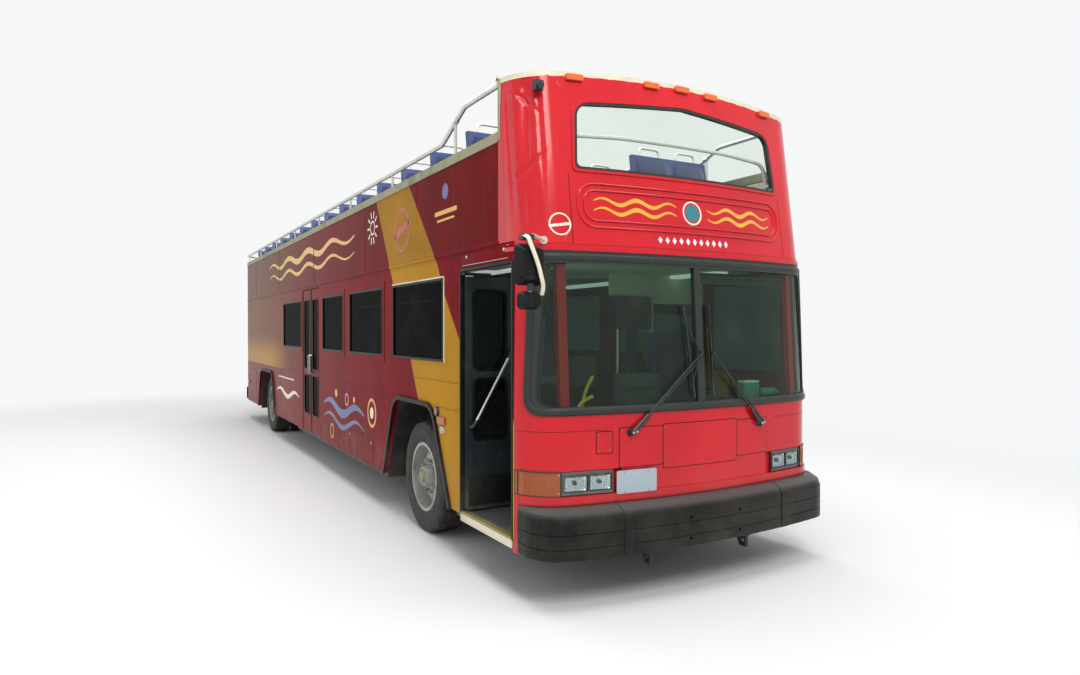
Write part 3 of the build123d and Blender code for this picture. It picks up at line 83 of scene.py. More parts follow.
class Wire:
    """One shader socket, so that node maths reads as plain expressions."""

    def __init__(self, finish, socket):
        self.finish = finish
        self.socket = socket

    def math(self, operation, other=0.0, swapped=False):
        pair = {0: other, 1: self} if swapped else {0: self, 1: other}
        return self.finish.node("Math", pair, operation=operation)

    __add__ = __radd__ = operator("ADD")
    __sub__ = operator("SUBTRACT")
    __rsub__ = operator("SUBTRACT", swapped=True)
    __mul__ = __rmul__ = operator("MULTIPLY")
    __truediv__ = operator("DIVIDE")
    __gt__ = operator("GREATER_THAN")
    __lt__ = operator("LESS_THAN")

    def ramp(self, low, high, out_low=0.0, out_high=1.0, kind="SMOOTHSTEP"):
        """Climb from out_low to out_high while this value goes from low to high."""
        sockets = {"Value": self, "From Min": low, "From Max": high, "To Min": out_low, "To Max": out_high}
        return self.finish.node("MapRange", sockets, interpolation_type=kind)


class Finish:
    """A material under construction, with a Principled shader at its end."""

    def __init__(self, name, colour, roughness=0.5, metallic=0.0, **constants):
        self.material = bpy.data.materials.new(name)
        self.material.use_nodes = True
        self.tree = self.material.node_tree
        self.shader = self.tree.nodes["Principled BSDF"]
        self.into(Base_Color=colour, Roughness=roughness, Metallic=metallic, **constants)

    def set(self, node, key, value):
        socket = node.inputs[key]
        if isinstance(value, Wire):
            self.tree.links.new(value.socket, socket)
        elif isinstance(value, tuple):
            socket.default_value = (*value, 1.0)[: len(socket.default_value)]
        else:
            socket.default_value = value

    def node(self, kind, sockets=(), output=0, **settings):
        """Adds a node; its settings come before the values or links of its sockets."""
        node = self.tree.nodes.new(f"ShaderNode{kind}")
        for key, value in settings.items():
            setattr(node, key, value)
        for key, value in dict(sockets).items():
            self.set(node, key, value)
        return Wire(self, node.outputs[output])

    def place(self):
        return self.node("TexCoord", output="Object")

    def axis(self, letter):
        """The X, Y or Z of a point on the piece."""
        return self.node("SeparateXYZ", {0: self.place()}, letter)

    def noise(self, scale, detail=3.0, roughness=0.5, stretch=None):
        vector = self.node("Mapping", {"Vector": self.place(), "Scale": stretch}) if stretch else self.place()
        sockets = {"Vector": vector, "Scale": scale, "Detail": detail, "Roughness": roughness}
        return self.node("TexNoise", sockets)

    def cells(self, scale):
        return self.node("TexVoronoi", {"Vector": self.place(), "Scale": scale}, "Distance")

    def ribs(self, across, pitch):
        """Waves at a pitch along a length."""
        return (across * 2 * pi / pitch).math("SINE")

    def mix(self, factor, first, second):
        """Colour between first and second by factor."""
        return self.node("Mix", {"Factor": factor, 6: first, 7: second}, 2, data_type="RGBA")

    def patches(self, base, other, amount, noise, low, high):
        """Another colour over base, in patches where the noise is high."""
        return self.mix(self.noise(*noise).ramp(low, high) * amount, base, other)

    def bump(self, height, distance, strength=1.0, **normal):
        return self.node("Bump", {"Height": height, "Distance": distance, "Strength": strength, **normal})

    def into(self, **sockets):
        for socket, value in sockets.items():
            self.set(self.shader, socket.replace("_", " "), value)
        return self.material

    def blend(self, factor, first, second):
        """Shader between first and second by factor."""
        return self.node("MixShader", {0: factor, 1: first, 2: second})

    def clear(self, tint=(1.0, 1.0, 1.0)):
        return self.node("BsdfTransparent", {"Color": tint})

    def solid(self):
        return Wire(self, self.shader.outputs[0])

    def show(self, shader):
        """Puts a shader in place of the plain one."""
        self.set(self.tree.nodes["Material Output"], "Surface", shader)
        return self.material


def srgb(red, green, blue):
    """Linear colour from display values out of 255."""
    def linear(value):
        share = value / 255
        return share / 12.92 if share <= 0.04045 else ((share + 0.055) / 1.055) ** 2.4
    return (linear(red), linear(green), linear(blue))


# Finishes

DUST = srgb(150, 138, 122)
RED_FRONT = srgb(206, 24, 36)
# The side's red is the front's red darkened: painted shade over the whole side.
RED_SIDE_SHADED = srgb(132, 20, 27)
RED_FADED = srgb(132, 52, 48)
GOLD = srgb(190, 138, 36)
OCHRE = srgb(116, 78, 34)
LEAF_BLACK = srgb(34, 45, 49)
TYRE_BLACK = srgb(30, 30, 31)
SILVER = srgb(214, 218, 220)
LAMP_WHITE = srgb(226, 232, 228)
BAND_REAR = [(1.18, 3.93), (1.5, 3.75), (2.2, 3.27), (3.09, 2.72)]
BAND_FRONT = [(1.5, 5.02), (1.7, 4.82), (2.07, 4.51), (2.3, 4.38), (2.42, 4.27), (3.03, 3.72)]
LEAF_RAIL_Z = (1.095, 1.555)
UPPER_GLASS_Z = 2.6
UPPER_LAMPS_Z = 3.0


def wear(finish, colour, dust=0.35, top=1.0):
    """Road dust that thickens towards the ground, with patches and runs; gives colour and dust mask."""
    low = finish.axis("Z").ramp(top, 0.25)
    patches = finish.noise(3.0, 6.0, 0.65).ramp(0.35, 0.75)
    runs = finish.noise(2.2, 4.0, 0.6, (9.0, 9.0, 0.7)).ramp(0.45, 0.8)
    mask = low * patches * dust + runs * 0.12 * dust + low * 0.15 * dust
    return finish.mix(mask, colour, DUST), mask


def steps(height, points):
    """Place along X of a line drawn through points of height and X, lowest first."""
    total = points[0][1]
    for (low, x_low), (high, x_high) in zip(points, points[1:]):
        total = height.ramp(low, high, 0.0, x_high - x_low, "LINEAR") + total
    return total


def livery(finish, cloud):
    """The side's colours: ochre and gold towards the rear, a faded skirt, the slanted gold band, and painted
    shade over the upper side.
    """
    x, z = finish.axis("X"), finish.axis("Z")
    red = finish.mix(cloud.ramp(0.3, 0.75), RED_SIDE_SHADED, srgb(112, 16, 24))
    rear = x.ramp(1.2, -4.2) * finish.noise(0.9, 3.0, 0.6).ramp(0.05, 0.75, 0.6, 1.0)
    above = z.ramp(PANEL_SEAM_Z - 0.004, PANEL_SEAM_Z + 0.004)
    low_gold = x.ramp(-1.5, -3.4) * z.ramp(1.75, 1.25) * above
    colour = finish.mix(rear * above * 0.85, red, OCHRE)
    colour = finish.mix(low_gold * 0.85, colour, GOLD)
    streaks = finish.noise(1.6, 5.0, 0.7, (3.0, 3.0, 0.5)).ramp(0.35, 0.7)
    faded = (1.0 - above) * x.ramp(0.6, -2.0) * (0.45 + streaks * 0.5)
    colour = finish.mix(faded, colour, RED_FADED)
    behind = (x - steps(z, BAND_REAR)).ramp(-0.002, 0.002)
    ahead = (steps(z, BAND_FRONT) - x).ramp(-0.002, 0.002)
    gold = finish.mix(cloud.ramp(0.3, 0.7), GOLD, srgb(176, 126, 34))
    colour = finish.mix(behind * ahead * (x > 0.0), colour, gold)
    # Darker over the upper side above z 2.30: painted shade.
    return finish.mix(z.ramp(2.30, 2.45) * 0.22, colour, srgb(44, 34, 24))


def coach_paint(name, coat, shine, dust, banded):
    """Gloss coach paint: orange peel, fine scratches and dust, and the side's colours where banded is set."""
    finish = Finish(name, RED_FRONT, 0.2, Coat_Roughness=0.08, Coat_Weight=coat, Specular_IOR_Level=shine)
    cloud = finish.noise(1.3, 4.0, 0.6)
    fine = finish.noise(60.0, 3.0, 0.7)
    if banded:
        colour = livery(finish, cloud)
    else:
        colour = finish.mix(cloud.ramp(0.3, 0.7), RED_FRONT, srgb(192, 18, 32))
    colour, dusty = wear(finish, colour, dust)
    colour = finish.mix(fine.ramp(0.72, 0.8) * 0.15, colour, srgb(110, 90, 80))
    peel = finish.bump(finish.noise(140.0, 1.0), 0.0004, 0.4)
    waves = finish.bump(finish.noise(1.1, 1.0), 0.012, 0.25, Normal=peel)
    rough = 0.17 + dusty * 0.6 + fine.ramp(0.4, 0.8) * 0.08
    return finish.into(Base_Color=colour, Roughness=rough, Normal=waves)


def rubber(name, colour, roughness, grain=300.0, dust=0.5, painted_top_light_z=None):
    """Moulded rubber: grain, scuffs that go grey, dust low down, and a paler upper side of painted sky light
    over painted_top_light_z.
    """
    finish = Finish(name, colour, roughness, Specular_IOR_Level=0.14)
    scuff = finish.noise(7.0, 8.0, 0.75).ramp(0.5, 0.75)
    base = finish.mix(scuff * 0.22, colour, srgb(84, 84, 82))
    base, dusty = wear(finish, base, dust, 0.9)
    if painted_top_light_z:
        # The upper side made paler: painted light from the sky on its top.
        base = finish.mix(finish.axis("Z").ramp(*painted_top_light_z) * 0.9, base, srgb(84, 81, 79))
    bumps = finish.bump(finish.noise(grain, 2.0), 0.0006, 0.6)
    rough = roughness + scuff * 0.12 + dusty * 0.2
    return finish.into(Base_Color=base, Roughness=rough, Normal=bumps)


def leaf_finish(name, x_mid, inward):
    """Black enamel of a door leaf, and bright steel on the grab rail that stands off it."""
    finish = Finish(name, LEAF_BLACK, 0.4)
    x, z = finish.axis("X"), finish.axis("Z")
    steel = (((x - x_mid) * inward) > 0.0285) * (z > LEAF_RAIL_Z[0]) * (z < LEAF_RAIL_Z[1])
    scuff = finish.noise(7.0, 8.0, 0.75).ramp(0.5, 0.75)
    black, dusty = wear(finish, finish.mix(scuff * 0.3, LEAF_BLACK, srgb(88, 88, 86)), 0.4, 0.9)
    lines = finish.noise(120.0, 2.0, 0.5, (1.0, 1.0, 12.0))
    bright = finish.mix(scuff * 0.3, srgb(206, 206, 200), srgb(120, 114, 100))
    base = finish.mix(steel, black, bright)
    rough = steel * (lines * 0.15 - 0.18) + scuff * 0.1 + dusty * 0.2 + 0.4
    bumps = finish.bump(finish.noise(240.0, 2.0), 0.0004, 0.4)
    return finish.into(Base_Color=base, Metallic=steel, Roughness=rough, Normal=bumps)


def metal(name, colour, roughness, brushed=(1.0, 1.0, 1.0), tarnish=0.3, metallic=1.0):
    """Bare or plated metal: brush lines, water marks and dull patches."""
    finish = Finish(name, colour, roughness, metallic)
    lines = finish.noise(120.0, 2.0, 0.5, brushed)
    marks = finish.noise(5.0, 6.0, 0.7).ramp(0.45, 0.75)
    base = finish.mix(marks * tarnish, colour, srgb(96, 90, 76))
    rough = roughness + lines * 0.12 + marks * 0.25 * tarnish
    return finish.into(Base_Color=base, Roughness=rough, Normal=finish.bump(lines, 0.0003, 0.3))


def chassis_paint(name, colour, rust=0.35):
    """Satin black frame paint with road dirt, and rust in patches."""
    finish = Finish(name, colour, 0.6)
    grime = finish.noise(4.0, 8.0, 0.7).ramp(0.4, 0.7)
    base = finish.mix(grime * 0.6, colour, srgb(84, 76, 66))
    base = finish.patches(base, srgb(104, 56, 32), rust, (11.0, 8.0, 0.75), 0.58, 0.68)
    bumps = finish.bump(finish.noise(45.0, 5.0), 0.002, 0.5)
    return finish.into(Base_Color=base, Roughness=0.5 + grime * 0.35, Normal=bumps)


def glass(name, tint, veil=0.05, dirt=0.12, shine=0.9, upper=None):
    """Safety glass: clear, a mirror seen edge on, a film of dust; upper is the tint of the pane on top."""
    finish = Finish(name, srgb(120, 124, 118), 0.6)
    pane = finish.clear(tint)
    if upper:
        pane = finish.blend(finish.axis("Z") > UPPER_GLASS_Z, pane, finish.clear(upper))
    mirror = finish.node("BsdfGlossy", {"Color": (shine, shine, shine), "Roughness": 0.02})
    edge = finish.node("LayerWeight", {"Blend": 0.5}, "Facing")
    pane = finish.blend(edge.math("POWER", 5.0) * 0.9 + 0.02, pane, mirror)
    dusty = finish.noise(2.5, 6.0, 0.7).ramp(0.4, 0.8) * dirt
    return finish.show(finish.blend(dusty + veil, pane, finish.solid()))


def lens(name, colour, upper=None):
    """Moulded lamp lens: fine prisms, a milky haze and some dust; upper is the colour of those on top."""
    finish = Finish(name, colour, 0.14, Coat_Weight=0.3, Coat_Roughness=0.05, Specular_IOR_Level=0.3)
    cells = finish.cells(110.0)
    base = finish.mix(finish.axis("Z") > UPPER_LAMPS_Z, colour, upper or colour)
    base = finish.mix(cells.ramp(0.1, 0.6) * 0.2, base, srgb(236, 150, 90) if upper else colour)
    base = finish.patches(base, DUST, 0.12, (6.0, 5.0, 0.7), 0.5, 0.8)
    return finish.into(Base_Color=base, Normal=finish.bump(cells, 0.0015, 0.6))


def floor_cover(name, colour):
    """Ribbed vinyl floor: fine ribs along the coach, worn and dusty in patches."""
    finish = Finish(name, colour, 0.7)
    worn = finish.noise(3.5, 7.0, 0.7).ramp(0.4, 0.7)
    base = finish.mix(worn * 0.4, colour, srgb(112, 106, 98))
    base = finish.patches(base, srgb(160, 158, 150), 0.4, (90.0, 2.0), 0.62, 0.68)
    bumps = finish.bump(finish.ribs(finish.axis("Y"), 0.012), 0.0012, 0.7)
    return finish.into(Base_Color=base, Roughness=0.55 + worn * 0.3, Normal=bumps)


def seat_cloth(name, colour, fleck):
    """Woven seat covering: weave in two directions with flecks and rubbed patches."""
    finish = Finish(name, colour, 0.9, Sheen_Weight=0.3)
    x, y, z = (finish.axis(letter) for letter in "XYZ")
    base = finish.mix(finish.cells(70.0).ramp(0.12, 0.2, 1.0, 0.0) * 0.7, colour, fleck)
    base = finish.patches(base, srgb(90, 88, 84), 0.35, (4.0, 6.0, 0.7), 0.45, 0.75)
    weave = finish.ribs(y + z * 0.3, 0.004) * finish.ribs(x + z, 0.004)
    return finish.into(Base_Color=base, Normal=finish.bump(weave, 0.0008, 0.6))


def plain_plastic(name, colour, roughness=0.4, grain=220.0):
    """Moulded plastic: pebble grain, slight fading and hand marks."""
    finish = Finish(name, colour, roughness, Coat_Weight=0.1)
    faded = finish.noise(2.6, 5.0, 0.6).ramp(0.35, 0.75)
    base = finish.mix(faded * 0.35, colour, tuple(c * 0.8 + 0.08 for c in colour))
    base = finish.patches(base, DUST, 0.2, (34.0, 6.0, 0.75), 0.6, 0.75)
    bumps = finish.bump(finish.cells(grain), 0.0005, 0.5)
    return finish.into(Base_Color=base, Roughness=roughness + faded * 0.15, Normal=bumps)


def tyre_rubber(name):
    """Tyre rubber: matte black tread, greyer dusty side walls."""
    finish = Finish(name, TYRE_BLACK, 0.85)
    dusty = finish.noise(9.0, 8.0, 0.7).ramp(0.35, 0.75)
    base = finish.mix(dusty * 0.55, TYRE_BLACK, srgb(96, 90, 82))
    base = finish.patches(base, DUST, 0.3, (70.0, 4.0), 0.6, 0.7)
    bumps = finish.bump(finish.noise(260.0, 3.0), 0.0006, 0.7)
    return finish.into(Base_Color=base, Roughness=0.75 + dusty * 0.2, Normal=bumps)


def film(name, colour, worn=0.2):
    """Printed vinyl film: faded patches, fine scratches and a soft gloss."""
    finish = Finish(name, colour, 0.32, Coat_Weight=0.2)
    faded = finish.noise(1.8, 5.0, 0.65).ramp(0.35, 0.75)
    base = finish.mix(faded * worn, colour, tuple(c * 0.75 + 0.1 for c in colour))
    base = finish.patches(base, DUST, 0.35, (75.0, 4.0, 0.8), 0.66, 0.72)
    bumps = finish.bump(finish.noise(170.0, 2.0), 0.0003, 0.3)
    return finish.into(Base_Color=base, Roughness=0.28 + faded * 0.2, Normal=bumps)


def silver(name):
    """Silvered glass with a breath of dust."""
    finish = Finish(name, SILVER, 0.03, 1.0)
    dusty = finish.noise(9.0, 6.0, 0.7).ramp(0.5, 0.8)
    return finish.into(Base_Color=finish.mix(dusty * 0.3, SILVER, DUST), Roughness=0.02 + dusty * 0.2)


def diffuser(name):
    """Ribbed pale lamp cover with a faint cool glow."""
    finish = Finish(name, LAMP_WHITE, 0.35, Emission_Strength=0.5)
    base = finish.patches(LAMP_WHITE, srgb(180, 176, 160), 0.3, (8.0, 5.0, 0.7), 0.5, 0.8)
    bumps = finish.bump(finish.ribs(finish.axis("Y"), 0.008), 0.001, 0.6)
    return finish.into(Base_Color=base, Emission_Color=base, Normal=bumps)


PAINT_FRONT = coach_paint("front_paint", 0.2, 0.25, 0.22, False)
PAINT_SIDE = coach_paint("side_paint", 0.01, 0.01, 0.35, True)
BLACK_RUBBER = rubber("black_rubber", srgb(20, 21, 21), 0.4, dust=0.3)
GASKET_RUBBER = rubber("gasket_rubber", srgb(52, 56, 53), 0.32, dust=0.3)
# The bumper's paler top band is painted sky light.
BUMPER_RUBBER = rubber("bumper_rubber", srgb(18, 20, 19), 0.4, 180.0, 0.12, (0.578, 0.628))
DARK_GLASS = glass("side_glass", srgb(96, 112, 108), 0.005, 0.03, 0.09)
DOOR_GLASS = glass("door_glass", srgb(96, 120, 114), 0.03, 0.06, 0.35)
GREEN_GLASS = glass("windscreen_glass", srgb(214, 234, 220), 0.01, 0.05, 0.7, srgb(246, 251, 247))
CLEAR_GLASS = glass("upper_screen_glass", srgb(246, 251, 247), 0.02, 0.08, 0.9)
BRIGHT_TRIM = metal("bright_trim", srgb(176, 178, 176), 0.22, tarnish=0.4)
BEZEL_METAL = metal("bezel_metal", srgb(112, 110, 104), 0.28, tarnish=0.6)
RAIL_STEEL = metal("rail_steel", srgb(206, 206, 200), 0.3, (1.0, 40.0, 40.0), 0.35)
KICK_METAL = metal("kick_metal", srgb(74, 76, 74), 0.45, tarnish=0.7)
CAP_METAL = metal("cap_metal", srgb(150, 148, 118), 0.42, (0.2, 30.0, 30.0), 0.6)
CHASSIS = chassis_paint("chassis_black", srgb(34, 33, 33))
CAST = chassis_paint("cast_iron", srgb(58, 54, 50), 0.6)
WHEEL_STEEL = metal("wheel_steel", srgb(168, 168, 164), 0.45, tarnish=0.7, metallic=0.4)
FLOOR = floor_cover("floor_cover", srgb(66, 68, 70))
BLACK_PLASTIC = plain_plastic("black_plastic", srgb(34, 36, 38), 0.5)
GREY_PLASTIC = plain_plastic("grey_plastic", srgb(118, 122, 122), 0.5)
SEAT_SHELL = plain_plastic("seat_shell", srgb(38, 62, 120), 0.35)
SEAT_CLOTH = seat_cloth("seat_cloth", srgb(36, 48, 92), srgb(150, 60, 60))
TYRE_RUBBER = tyre_rubber("tyre_rubber")
# A dark green band standing in for glass with a dark reflection over the gasket: painted reflection.
EDGE_GLASS = film("painted_reflection_band", srgb(16, 26, 22), 0.1)
REFLECTOR = metal("reflector_chrome", srgb(226, 228, 230), 0.1, tarnish=0.15)
LAMP_PANE = glass("lamp_pane", srgb(244, 248, 248), 0.04, 0.06, 0.9)
AMBER = lens("amber_lens", srgb(140, 58, 8), srgb(214, 84, 28))
RED_LENS = lens("red_lens", srgb(178, 14, 18))
LAMP_GLASS = lens("lamp_lens", srgb(206, 210, 206))
LEAF_BLACK_REAR = leaf_finish("leaf_black_rear", 4.882, 1)
LEAF_BLACK_FRONT = leaf_finish("leaf_black_front", 5.668, -1)
ARM_PAINT = metal("arm_paint", srgb(206, 200, 178), 0.4, tarnish=0.5, metallic=0.0)
TRIM_CREAM = metal("trim_cream", srgb(226, 216, 190), 0.35, tarnish=0.3, metallic=0.0)
# The plate's white is darkened to blue-grey: a light blue tint, and painted shade.
PLATE_SHADED_WHITE = film("plate_shaded_white", srgb(166, 178, 186))
STEP_YELLOW = film("step_yellow", srgb(138, 124, 66), 0.5)
GOLD_FILM = film("gold_film", srgb(226, 168, 48))
CREAM_FILM = film("cream_film", srgb(238, 226, 200))
WHITE_FILM = film("white_film", srgb(236, 232, 240))
TEAL_FILM = film("teal_film", srgb(30, 120, 130))
BLUE_FILM = film("blue_film", srgb(52, 74, 142))
RED_FILM = film("red_film", srgb(186, 36, 44))
DARK_PLASTIC = plain_plastic("dark_plastic", srgb(24, 25, 26), 0.45)
WIPER_BLACK = plain_plastic("wiper_black", srgb(18, 19, 20), 0.35)
HANDLE_WHITE = plain_plastic("handle_white", srgb(224, 224, 216), 0.35)
LINER_CREAM = plain_plastic("liner_cream", srgb(196, 196, 180), 0.5)
CEILING_WHITE = plain_plastic("ceiling_white", srgb(206, 210, 204), 0.5)
TEAL_PLASTIC = plain_plastic("teal_plastic", srgb(58, 128, 120), 0.4)
LIGHT_DIFFUSER = diffuser("light_diffuser")
MIRROR_SILVER = silver("mirror_silver")
DRIVER_CLOTH = seat_cloth("driver_cloth", srgb(40, 42, 46), srgb(90, 94, 100))

SLOT_FINISHES = {
    "red_paint": [PAINT_FRONT],
    "side_paint": [PAINT_SIDE, GOLD_FILM, RED_FILM, BLUE_FILM, TEAL_FILM],
    "rubber_black": [BLACK_RUBBER, GASKET_RUBBER, BUMPER_RUBBER, EDGE_GLASS],
    "glass_tint": [CLEAR_GLASS],
    "bezel_metal": [BRIGHT_TRIM, BEZEL_METAL, MIRROR_SILVER, REFLECTOR],
    "lamp_glass": [LAMP_GLASS, LAMP_PANE, LIGHT_DIFFUSER],
    "amber": [AMBER],
    "rail_metal": [RAIL_STEEL, KICK_METAL],
    "cap_metal": [CAP_METAL],
    "cast": [CAST],
    "wheel_steel": [WHEEL_STEEL],
    "black_plastic": [BLACK_PLASTIC, DARK_PLASTIC, WIPER_BLACK, GREY_PLASTIC, TEAL_PLASTIC],
    "seat_fabric": [SEAT_CLOTH, DRIVER_CLOTH],
    "tyre_rubber": [TYRE_RUBBER],
    "arm_metal": [TRIM_CREAM, CREAM_FILM, WHITE_FILM, PLATE_SHADED_WHITE, HANDLE_WHITE, LINER_CREAM, CEILING_WHITE],
    "floor_grey": [STEP_YELLOW],
}
SLOT_OF = {material.name: slot for slot, materials in SLOT_FINISHES.items() for material in materials}

NODE_FINISH = {
    PAINT_FRONT: ["front_mask", "front_upper_panel"],
    PAINT_SIDE: ["side_wall_right", "side_wall_left", "rear_wall", "engine_door", "upper_side_left",
                 "upper_side_right", "exit_door_frame_rear", "exit_door_frame_front"],
    BLACK_RUBBER: ["arch_flares", "wipers", "mirror_heads"],
    GASKET_RUBBER: ["screen_gaskets"],
    BUMPER_RUBBER: ["bumpers"],
    DARK_GLASS: ["side_windows", "exit_door_glass_rear", "exit_door_glass_front"],
    DOOR_GLASS: ["front_door_glass_rear", "front_door_glass_front"],
    GREEN_GLASS: ["screens"],
    BEZEL_METAL: ["headlamp_bezels"],
    LAMP_GLASS: ["headlamps"],
    AMBER: ["amber_lamps"],
    RED_LENS: ["red_lamps"],
    RAIL_STEEL: ["guard_rails", "grab_poles"],
    CAP_METAL: ["coaming_cap"],
    CHASSIS: ["wheelhouses", "underframe", "front_door_arm_rear", "front_door_arm_front"],
    CAST: ["axles", "engine_block", "knuckle_left", "knuckle_right"],
    WHEEL_STEEL: ["rim_front_left", "rim_front_right", "rims_rear_left", "rims_rear_right"],
    FLOOR: ["lower_floor", "upper_deck_floor", "stair"],
    BLACK_PLASTIC: ["dash", "driver_barrier"],
    SEAT_SHELL: ["seat_backs"],
    SEAT_CLOTH: ["seat_bases"],
    TYRE_RUBBER: ["tyre_front_left", "tyre_front_right", "tyres_rear_left", "tyres_rear_right"],
    LEAF_BLACK_REAR: ["front_door_frame_rear"],
    LEAF_BLACK_FRONT: ["front_door_frame_front"],
    ARM_PAINT: ["mirror_arms"],
}
for material, names in NODE_FINISH.items():
    for name in names:
        for slot in NODES[name].material_slots:
            slot.material = material


# Shapes


def added(name, data):
    """A new object in the scene."""
    thing = bpy.data.objects.new(name, data)
    bpy.context.scene.collection.objects.link(thing)
    return thing


def as_mesh(gathered, name):
    """A plain mesh of faces whose normals are made to point outward."""
    bmesh.ops.recalc_face_normals(gathered, faces=gathered.faces)
    mesh = bpy.data.meshes.new(name)
    gathered.to_mesh(mesh)
    gathered.free()
    return mesh


def evaluated(thing):
    """The mesh that an object's modifiers make of it."""
    graph = bpy.context.evaluated_depsgraph_get()
    return bpy.data.meshes.new_from_object(thing.evaluated_get(graph))


class Shape:
    """Faces of one piece, gathered in metres in the coach's own frame."""

    def __init__(self):
        self.mesh = bmesh.new()

    def loft(self, rings, loop=False):
        """Skin through closed rings of points that all have the same count, capped unless it is a loop."""
        rows = [[self.mesh.verts.new(point) for point in ring] for ring in rings]
        pairs = list(zip(rows, rows[1:]))
        if loop:
            pairs.append((rows[-1], rows[0]))
        for near, far in pairs:
            for n in range(len(near)):
                m = (n + 1) % len(near)
                self.mesh.faces.new((near[n], near[m], far[m], far[n]))
        if not loop:
            self.mesh.faces.new(rows[0][::-1])
            self.mesh.faces.new(rows[-1])

    def block(self, low, high, bevel=0.003):
        """Box between two corners with its edges broken."""
        size = [b - a for a, b in zip(low, high)]
        middle = [(a + b) / 2 for a, b in zip(low, high)]
        place = Matrix.Translation(middle) @ Matrix.Diagonal((*size, 1.0))
        verts = bmesh.ops.create_cube(self.mesh, size=1.0, matrix=place)["verts"]
        edges = list({edge for vert in verts for edge in vert.link_edges})
        reach = min(bevel, min(size) * 0.3)
        bmesh.ops.bevel(self.mesh, geom=edges, offset=reach, segments=2, affect="EDGES", profile=0.7)

    def sweep(self, path, section, loop=False):
        """A section, given across and away from a surface, carried along points with their normals."""
        rings = []
        count = len(path)
        for n, (point, normal) in enumerate(path):
            before = path[(n - 1) % count if loop else max(n - 1, 0)][0]
            after = path[(n + 1) % count if loop else min(n + 1, count - 1)][0]
            ahead = (Vector(after) - Vector(before)).normalized()
            normal = Vector(normal).normalized()
            across = normal.cross(ahead).normalized()
            rings.append([Vector(point) + across * u + normal * v for u, v in section])
        self.loft(rings, loop)

    def tube(self, points, radius, sides=10, bend=0.0):
        """Round bar along points, its corners rounded by bend; radius may be a pair, one for each end."""
        points = soften(points, bend) if bend else [Vector(point) for point in points]
        ends = radius if isinstance(radius, tuple) else (radius, radius)
        rings = []
        guide = None
        for n, point in enumerate(points):
            ahead = (points[min(n + 1, len(points) - 1)] - points[max(n - 1, 0)]).normalized()
            guide = guide or (Vector((0, 0, 1)) if abs(ahead.z) < 0.9 else Vector((1, 0, 0)))
            across = ahead.cross(guide).normalized()
            guide = across.cross(ahead).normalized()
            size = ends[0] + (ends[1] - ends[0]) * n / (len(points) - 1)
            turns = (2 * pi * k / sides for k in range(sides))
            rings.append([point + (across * cos(a) + guide * sin(a)) * size for a in turns])
        self.loft(rings)

    def lathe(self, profile, centre, axis, steps=40, weave=None):
        """Closed profile of radius and distance along an axis, turned round it; weave shifts distances."""
        axis = Vector(axis).normalized()
        side = axis.orthogonal().normalized()
        over = axis.cross(side)
        rings = []
        for n in range(steps):
            angle = 2 * pi * n / steps
            out = side * cos(angle) + over * sin(angle)
            turned = [(radius, weave(n, radius, along) if weave else along) for radius, along in profile]
            rings.append([Vector(centre) + out * radius + axis * along for radius, along in turned])
        self.loft(rings, loop=True)

    def plate(self, outline, wrap, proud, base=-0.001, step=0.0):
        """A flat outline laid on a surface by wrap(u, v, off); step cuts it so that it follows a curve."""
        flat = bmesh.new()
        flat.faces.new([flat.verts.new((u, v, 0.0)) for u, v in outline])
        low, high = min(u for u, v in outline), max(u for u, v in outline)
        cuts = int((high - low) / step) if step else 0
        for n in range(1, cuts + 1):
            at = low + (high - low) * n / (cuts + 1)
            geometry = flat.verts[:] + flat.edges[:] + flat.faces[:]
            bmesh.ops.bisect_plane(flat, geom=geometry, plane_co=(at, 0, 0), plane_no=(1, 0, 0))
        top = {v: self.mesh.verts.new(wrap(v.co.x, v.co.y, proud)) for v in flat.verts}
        under = {v: self.mesh.verts.new(wrap(v.co.x, v.co.y, base)) for v in flat.verts}
        for face in flat.faces:
            self.mesh.faces.new([top[v] for v in face.verts])
            self.mesh.faces.new([under[v] for v in reversed(face.verts)])
        for edge in flat.edges:
            if len(edge.link_faces) == 1:
                a, b = edge.verts
                self.mesh.faces.new((top[a], top[b], under[b], under[a]))
        flat.free()

    def block_on(self, wrap, u0, u1, v0, v1, proud, base=-0.001):
        """Low rectangle on a surface."""
        self.plate([(u0, v0), (u1, v0), (u1, v1), (u0, v1)], wrap, proud, base)

    def band(self, outer, inner, wrap, proud, base=-0.001):
        """Frame between two outlines with the same count of points, laid on a surface."""
        rings = []
        for a, b in zip(outer, inner):
            rings.append([wrap(*a, base), wrap(*a, proud), wrap(*b, proud), wrap(*b, base)])
        self.loft(rings, loop=True)

    def piece(self, name, material, body="coach", sharp=35.0):
        """Makes the object and hangs it on its body."""
        bmesh.ops.remove_doubles(self.mesh, verts=self.mesh.verts, dist=1e-6)
        return hang(name, as_mesh(self.mesh, name), material, body, sharp)


def hang(name, mesh, material, body="coach", sharp=35.0):
    """A finished mesh as a piece on its body, with its finish."""
    mesh.materials.clear()
    mesh.materials.append(material)
    mesh.shade_smooth()
    mesh.set_sharp_from_angle(angle=radians(sharp))
    piece = added(name, mesh)
    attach(piece, body)
    return piece


def boxes(name, material, *rows, body="coach"):
    """A piece made of boxes, each given by two corners and how far its edges are broken."""
    shape = Shape()
    for row in rows:
        shape.block(*row)
    return shape.piece(name, material, body)


def joined(meshes):
    """One mesh from several placed ones, each given with its matrix."""
    gathered = bmesh.new()
    for mesh, place in meshes:
        mesh.transform(place)
        gathered.from_mesh(mesh)
    return as_mesh(gathered, "joined")


def strewn(name, material, mesh, places, body="coach", sharp=35.0):
    """Copies of one small mesh, one for each matrix, as a piece."""
    return hang(name, joined([(mesh.copy(), place) for place in places]), material, body, sharp)


